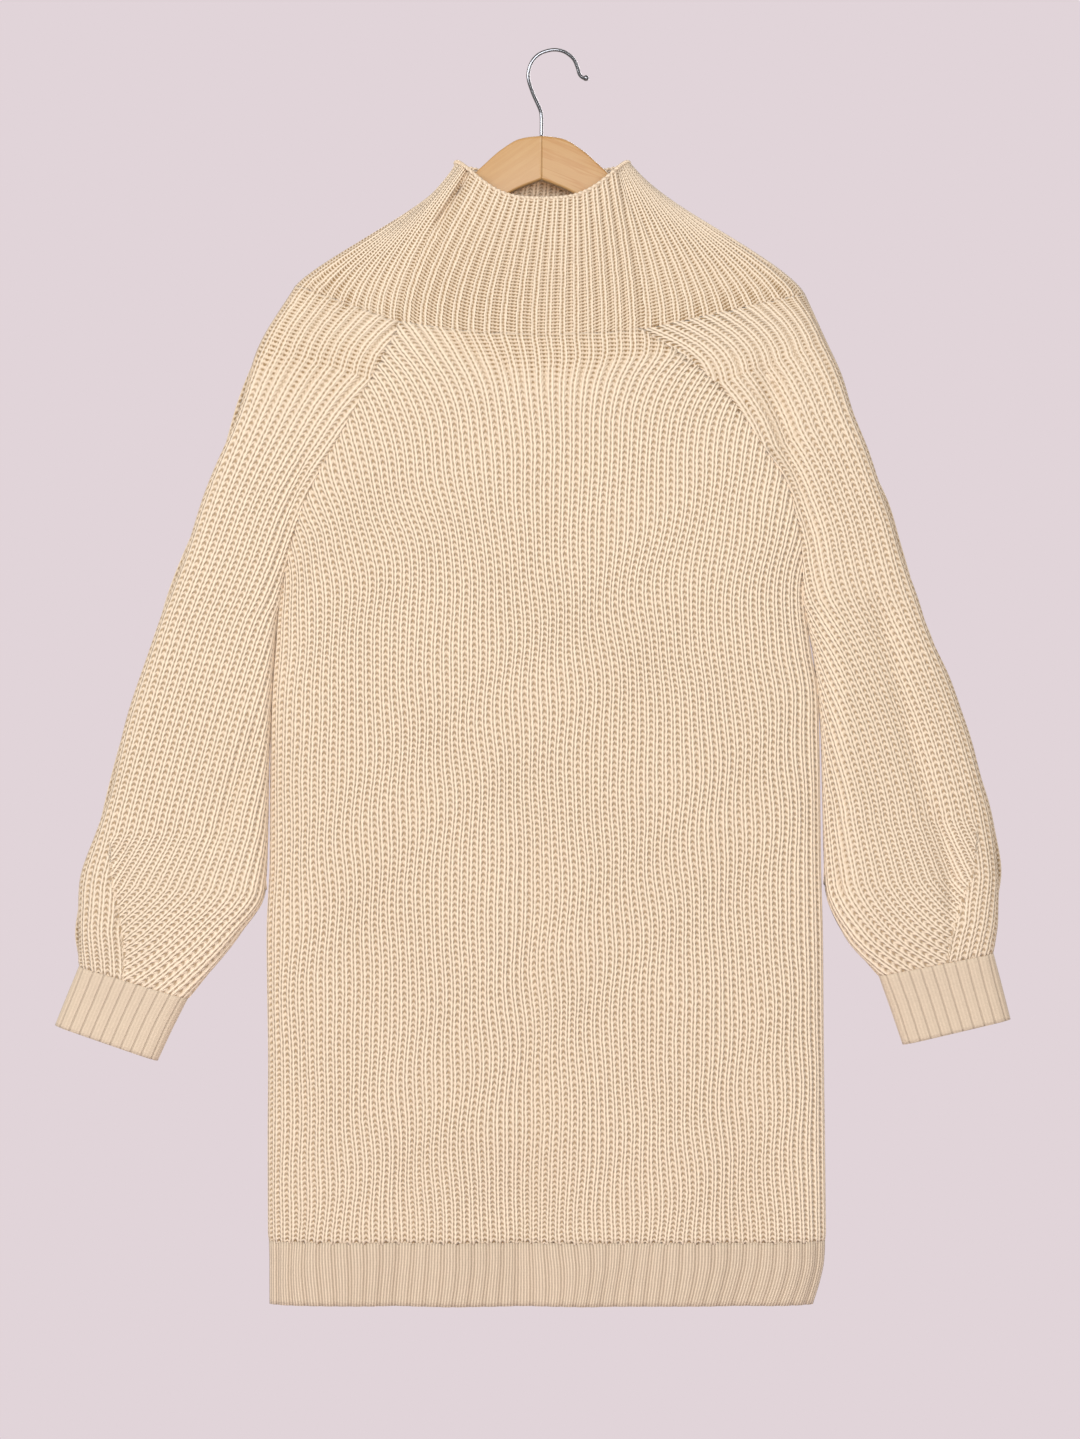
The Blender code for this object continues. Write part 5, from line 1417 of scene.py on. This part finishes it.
def make_panel(name, node, face):
    """A front or back panel. Columns follow the ribs, and rows share out each rib's height between
    the band and where the rib ends."""
    settings = bpy.context.scene.knit_settings
    panels, sleeves = forms()
    rib = np.arange(-BODY_RIBS, BODY_RIBS + 0.01, 1.0 / COLUMNS_PER_RIB)
    top = panels.top_level(rib)
    low = panels.at["z_left"][panels.levels == BAND_LEVEL][0]
    high = np.interp(top, panels.levels, panels.at["z_left"])
    z = low + (high - low) * np.linspace(0.0, 1.0, PANEL_ROWS)[:, None]
    level = panels.level_of_height(z)
    level[-1] = top
    limit = np.where(rib < 0.0, panels.value("ribs_left", level), panels.value("ribs_right", level))
    free = loose(rib, limit, PANEL_FREE_RIBS)
    free = free * ease((level - PANEL_FREE_START) / PANEL_FREE_LEVELS)
    base = wave(fold(panels.point(rib[None, :], level, face)), free)
    for side, sign in (("left", -1.0), ("right", 1.0)):
        edge, edge_rib, _, _ = sleeve_base(sleeves[side])
        base = meet_raglan(base, rib, edge, edge_rib, sign, face)
    number = np.broadcast_to(rib, z.shape)
    pitch = rib_pitch(base, number, False)
    rise = rib_share(number, RIB_SECTION) * settings.rib_rise / MM
    rise[:, (0, -1)] = 0.0
    ending = np.abs(rib) > CROWN_RIBS
    rise[-1, ending] *= raglan_rise(level[-1, ending])
    rise[:2] *= BAND_MEET
    ends = np.exp(-((base[..., 2] - low) / BAND_HOLES) ** 2) * BAND_OPEN
    values = {"pitch": pitch, "open": np.maximum(pulled_open(base, pitch), ends),
              "stretch": stretched(pitch)}
    base = lapped(base, (0, -1))
    piece = cloth_shell(name, base, rise, number, panel_course(base[..., 2]), False,
                        "half_cardigan_rib", values)
    settle(piece, [node])
    return piece


def make_sleeve(name, node, side):
    """A sleeve: a flat tube whose ribs end at the yoke seam and along the raglan seams."""
    settings = bpy.context.scene.knit_settings
    sleeve = forms()[1][side]
    base, rib, course, level = sleeve_base(sleeve)
    outer, inner, extra, inside = gathered_ribs(np.append(rib, SLEEVE_RIBS), level, sleeve,
                                                HEAD_RIBS[side])
    number = np.where(inside, inner, outer)
    pitch = np.where(inside[:, :-1], rib_pitch(base, inner, True), rib_pitch(base, outer, True))
    rise = rib_share(number[:, :-1], RIB_SECTION) * settings.rib_rise / MM
    ending = np.abs(rib) > SHOULDER_RIBS
    rise[-1, ending] *= raglan_rise(level[-1, ending])
    rise[:2] *= BAND_MEET
    course = course + np.where(inside, extra, 0.0)[:, :-1]
    values = {"pitch": pitch, "open": pulled_open(base, pitch), "stretch": stretched(pitch)}
    base = lapped(base, (0, -1))
    piece = cloth_shell(name, base, rise, number, course, True, "half_cardigan_rib", values)
    settle(piece, [node])
    return piece


def make_yoke(name, node):
    """The yoke and funnel neck, knitted in one round piece."""
    settings = bpy.context.scene.knit_settings
    panels, sleeves = forms()
    place = np.arange(0.0, YOKE_RIBS, 1.0 / COLUMNS_PER_RIB)
    down = np.linspace(0.0, 1.0, YOKE_ROWS)
    base = fold(yoke_point(panels, sleeves, place, down))
    right, left = (2.0 * SHOULDER_RIBS * HEAD_RIBS[side][0] for side in ("right", "left"))
    marks = np.cumsum((0.0, CROWN_RIBS, 2.0 * SHOULDER_RIBS, 2.0 * CROWN_RIBS, 2.0 * SHOULDER_RIBS,
                       CROWN_RIBS))
    seen = np.cumsum((0.0, CROWN_RIBS, right, 2.0 * CROWN_RIBS, left, CROWN_RIBS))
    number = np.interp(np.append(place, YOKE_RIBS), marks, seen)
    number = np.broadcast_to(number, (YOKE_ROWS, len(place) + 1))
    pitch = rib_pitch(base, number, True)
    full = np.clip(pitch / FULL_RISE_PITCH, 0.0, 1.0)
    rise = rib_share(number[:, :-1], RIB_SECTION) * settings.rib_rise / MM * full
    course = -courses_down(base, YOKE_COURSE)
    values = {"pitch": pitch, "open": pulled_open(base, pitch), "stretch": np.ones_like(pitch)}
    rise[-1] = -YOKE_SINK
    base = lapped(base, (-1,))
    piece = cloth_shell(name, base, rise, number, course, True, "half_cardigan_rib", values)
    settle(piece, [node])
    return piece


def make_neck_edge(name):
    """The cast-off edge of the neck: a chain of small loops along the rim, as a rod whose thickness
    swells once for each loop, r (1 + 0.22 cos(2 pi n place))."""
    place = np.linspace(0.0, YOKE_RIBS, EDGE_LOOPS * EDGE_LOOP_RINGS, endpoint=False)
    line = rim_point(place) - np.array((0.0, 0.0, EDGE_SINK))
    line = np.concatenate((line, line[:1]))
    along = np.gradient(line, axis=0)
    along[0] = along[-1] = line[1] - line[-2]
    along = unit(along)
    out = unit(np.cross(along, (0.0, 0.0, 1.0)))
    up = np.cross(out, along)
    loops = np.linspace(0.0, EDGE_LOOPS, len(line))
    size = EDGE_RADIUS_YARN * (1.0 + EDGE_SWELL * np.cos(2.0 * math.pi * loops))
    turn = round_turn(EDGE_SIDES)[None, :, None]
    rings = line[:, None] + size[:, None, None] * (
        EDGE_BROAD * out[:, None] * np.cos(turn) + up[:, None] * np.sin(turn))
    piece = tube(name, rings[:-1], loops[:-1], shared_material("cast_off_chain", chain_yarn), True)
    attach(piece, "root")
    return piece


def make_hem(name, node, face):
    """One side of the hem band, between the panel and the open hem."""
    settings = bpy.context.scene.knit_settings
    panels = PanelForm()
    own = np.linspace(0.0, HEM_RIBS, HEM_RIBS * COLUMNS_PER_RIB + 1)
    rib = (own / HEM_RIBS * 2.0 - 1.0) * BODY_RIBS
    level = np.linspace(HEM_LEVEL, BAND_LEVEL, HEM_ROWS)[:, None]
    free = loose(rib, BODY_RIBS, PANEL_FREE_RIBS)
    base = wave(fold(panels.point(rib[None, :], level, face)), free)
    number = np.broadcast_to(own, base.shape[:2])
    pitch = rib_pitch(base, number, False)
    rise = rib_share(number, BAND_SECTION) * settings.band_rise / MM
    rise[:, (0, -1)] = 0.0
    values = {"pitch": pitch}
    course = base[..., 2] / BAND_COURSE
    piece = cloth_shell(name, base, rise, number, course, False, "hem_rib", values)
    settle(piece, [node])
    return piece


def make_cuff(name, node, table):
    """A cuff: a flat tube of band rib, open at the hand."""
    settings = bpy.context.scene.knit_settings
    own = np.arange(0.0, CUFF_RIBS, 1.0 / COLUMNS_PER_RIB)
    level = np.linspace(len(table) - 1.0, 0.0, CUFF_ROWS)
    base = cuff_point(table, own / CUFF_RIBS, level)
    number = np.broadcast_to(np.append(own, CUFF_RIBS), (CUFF_ROWS, len(own) + 1))
    pitch = rib_pitch(base, number, True)
    rise = rib_share(number[:, :-1], CUFF_SECTION) * settings.band_rise / MM
    values = {"pitch": pitch}
    course = courses_down(base, BAND_COURSE)
    piece = cloth_shell(name, base, rise, number, course, True, "cuff_rib", values)
    settle(piece, [node])
    return piece


def rounded_ring(top, bottom, thickness, sides):
    """Points round a rounded rectangle for each row of an arm: the corner circle's centre moves
    from corner to corner while the angle turns once round."""
    radius = np.minimum(EDGE_RADIUS, np.minimum(top - bottom, thickness) * EDGE_SHARE)[:, None]
    angle = 2.0 * math.pi * (np.arange(sides) + 0.5)[None, :] / sides
    across = (thickness[:, None] / 2.0 - radius) * np.sign(np.cos(angle))
    up = ((top - bottom)[:, None] / 2.0 - radius) * np.sign(np.sin(angle))
    y = across + radius * np.cos(angle)
    z = (top + bottom)[:, None] / 2.0 + up + radius * np.sin(angle)
    return y, z


def make_arm(name, node, side, slant, contrast):
    """One half of the hanger, from the mitre at its middle to the tip: rounded rectangles whose top
    and bottom follow the table."""
    reach, top, bottom = (np.array(column) for column in zip(*ARM_STATIONS))
    at = np.linspace(ARM_START, reach[-1], ARM_ROWS)
    high = through(at, reach, top)
    low = through(at, reach, bottom)
    slim = np.clip((at / reach[-1] - TIP_START) / (1.0 - TIP_START), 0.0, 1.0)
    thickness = HANGER_THICKNESS + (TIP_THICKNESS - HANGER_THICKNESS) * slim
    y, z = rounded_ring(high, low, thickness, ARM_SIDES)
    x = np.broadcast_to((HANGER_X + side * at)[:, None], y.shape)
    material = shared_material("lacquered_lotus_wood_" + name, wood, math.radians(slant), contrast)
    piece = tube(name, np.stack((x, y, z), axis=-1), at / PATTERN_STEP, material)
    settle(piece, [node])
    return piece


def make_hook(name, node):
    """The hook: a circle carried along a smooth path, with a small ball at its end."""
    radius = bpy.context.scene.hanger_settings.wire / MM / 2.0
    path = np.array(HOOK_PATH)
    fine = np.linspace(0.0, len(path) - 1.0, WIRE_ROWS)
    before = np.concatenate((path[:1] * 2.0 - path[1:2], path[:-1]))
    after = np.concatenate((path[1:], path[-1:] * 2.0 - path[-2:-1]))
    slope = (after - before) / 2.0
    place = np.clip(fine.astype(int), 0, len(path) - 2)
    line = cubic(path[place], path[place + 1], slope[place], slope[place + 1],
                 (fine - place)[:, None])
    along = unit(np.gradient(line, axis=0))
    run = run_along(line)
    left = run[-1] - run
    ball = BALL_RADIUS ** 2 - (left - BALL_RADIUS) ** 2
    ball = np.sqrt(np.clip(ball, BALL_TIP_RADIUS ** 2, None))
    size = np.where(left > BALL_RADIUS, np.maximum(ball, radius), ball)
    size = np.where(left > 2.0 * BALL_RADIUS, radius, size)
    turn = round_turn(WIRE_SIDES)[None, :]
    sideways = size[:, None] * np.cos(turn)
    rings = np.stack((line[:, :1] - along[:, 1:] * sideways, size[:, None] * np.sin(turn),
                      line[:, 1:] + along[:, :1] * sideways), axis=-1)
    material = shared_material("nickel_plated_wire", plated_wire)
    piece = tube(name, rings, run / PATTERN_STEP, material)
    settle(piece, [node])
    return piece


# ---------------------------------------------------------------------------------------------
# Operators
# ---------------------------------------------------------------------------------------------

class MakePanels(bpy.types.Operator):
    """Makes the front and back panels in half-cardigan rib"""
    bl_idname = "sweater_dress.panels"
    bl_label = "Front and back"
    bl_options = {"REGISTER", "UNDO"}

    def execute(self, context):
        make_panel("front_panel", "body_front", -1.0)
        make_panel("back_panel", "body_back", 1.0)
        return {"FINISHED"}


class MakeSleeves(bpy.types.Operator):
    """Makes the two raglan sleeves"""
    bl_idname = "sweater_dress.sleeves"
    bl_label = "Sleeves"
    bl_options = {"REGISTER", "UNDO"}

    def execute(self, context):
        make_sleeve("left_sleeve", "sleeve_left", "left")
        make_sleeve("right_sleeve", "sleeve_right", "right")
        return {"FINISHED"}


class MakeYoke(bpy.types.Operator):
    """Makes the yoke with its funnel neck"""
    bl_idname = "sweater_dress.yoke"
    bl_label = "Yoke and neck"
    bl_options = {"REGISTER", "UNDO"}

    def execute(self, context):
        make_yoke("yoke_and_neck", "yoke")
        make_neck_edge("neck_edge")
        return {"FINISHED"}


class MakeBands(bpy.types.Operator):
    """Makes the hem band and the cuffs in two-by-two rib"""
    bl_idname = "sweater_dress.bands"
    bl_label = "Hem and cuffs"
    bl_options = {"REGISTER", "UNDO"}

    def execute(self, context):
        make_hem("front_hem", "hem_front", -1.0)
        make_hem("back_hem", "hem_back", 1.0)
        make_cuff("left_cuff", "cuff_left", CUFF_LEVELS_LEFT)
        make_cuff("right_cuff", "cuff_right", CUFF_LEVELS_RIGHT)
        return {"FINISHED"}


class MakeHanger(bpy.types.Operator):
    """Makes the two wooden arms and the wire hook"""
    bl_idname = "sweater_dress.hanger"
    bl_label = "Hanger"
    bl_options = {"REGISTER", "UNDO"}

    def execute(self, context):
        make_arm("hanger_left", "hanger_arm_left", -1.0, *GRAIN_LEFT)
        make_arm("hanger_right", "hanger_arm_right", 1.0, *GRAIN_RIGHT)
        make_hook("wire_hook", "hook")
        return {"FINISHED"}


class MakeStage(bpy.types.Operator):
    """Sets out the camera, the lights and the floor"""
    bl_idname = "sweater_dress.stage"
    bl_label = "Stage"
    bl_options = {"REGISTER", "UNDO"}

    def execute(self, context):
        scene = context.scene
        settings = scene.stage_settings
        low, high = CAD_BOX
        aim = np.array((CAMERA_X, (low[1] + high[1]) / 2.0, CAMERA_Z))
        lens = bpy.data.cameras.new("camera")
        lens.sensor_width = SENSOR
        lens.lens = SENSOR * settings.distance / VIEW_HEIGHT
        camera = bpy.data.objects.new("camera", lens)
        camera.location = aim - np.array((0.0, settings.distance, 0.0))
        camera.rotation_euler = (math.radians(90.0), 0.0, 0.0)
        scene.collection.objects.link(camera)
        scene.camera = camera
        for name, power, size, place in LIGHTS:
            lamp = bpy.data.lights.new(name, "AREA")
            lamp.energy = power * (settings.key if name == "key_light" else settings.fill)
            lamp.size = size
            light = bpy.data.objects.new(name, lamp)
            light.location = place
            way = aim - np.array(place)
            light.rotation_mode = "QUATERNION"
            light.rotation_quaternion = Vector(way).to_track_quat("-Z", "Y")
            scene.collection.objects.link(light)
        scene.world = pale_room()
        scene.view_settings.view_transform = "Standard"
        floor_at = low[2] / MM - FLOOR_DROP
        turn = round_turn(FLOOR_SIDES)
        z = np.array(((floor_at - FLOOR_THICKNESS,), (floor_at,)))
        rings = np.stack(np.broadcast_arrays(
            FLOOR_REACH * np.cos(turn), FLOOR_REACH * np.sin(turn), z), axis=-1)
        floor = tube("floor", rings, np.array((0.0, FLOOR_THICKNESS / PATTERN_STEP)),
                     painted_board("matt_painted_board"))
        return {"FINISHED"}


class SweaterDressPanel(bpy.types.Panel):
    """Lists the settings and the pieces"""
    bl_idname = "VIEW3D_PT_sweater_dress"
    bl_label = "Sweater Dress"
    bl_space_type = "VIEW_3D"
    bl_region_type = "UI"
    bl_category = "Sweater Dress"

    def draw(self, context):
        for settings in (context.scene.knit_settings, context.scene.hanger_settings,
                         context.scene.stage_settings):
            box = self.layout.box()
            for name in settings.bl_rna.properties.keys():
                if name not in ("rna_type", "name"):
                    box.prop(settings, name)
        for operator in PIECES:
            self.layout.operator(operator.bl_idname)


PIECES = (MakePanels, MakeSleeves, MakeYoke, MakeBands, MakeHanger, MakeStage)
GROUPS = (("knit_settings", KnitSettings), ("hanger_settings", HangerSettings),
          ("stage_settings", StageSettings))


def register():
    for name, group in GROUPS:
        bpy.utils.register_class(group)
        setattr(bpy.types.Scene, name, bpy.props.PointerProperty(type=group))
    for operator in PIECES:
        bpy.utils.register_class(operator)
    bpy.utils.register_class(SweaterDressPanel)


def unregister():
    bpy.utils.unregister_class(SweaterDressPanel)
    for operator in reversed(PIECES):
        bpy.utils.unregister_class(operator)
    for name, group in reversed(GROUPS):
        delattr(bpy.types.Scene, name)
        bpy.utils.unregister_class(group)


def main():
    register()
    bpy.ops.sweater_dress.panels()
    bpy.ops.sweater_dress.sleeves()
    bpy.ops.sweater_dress.yoke()
    bpy.ops.sweater_dress.bands()
    bpy.ops.sweater_dress.hanger()
    bpy.ops.sweater_dress.stage()


if __name__ == "__main__":
    main()
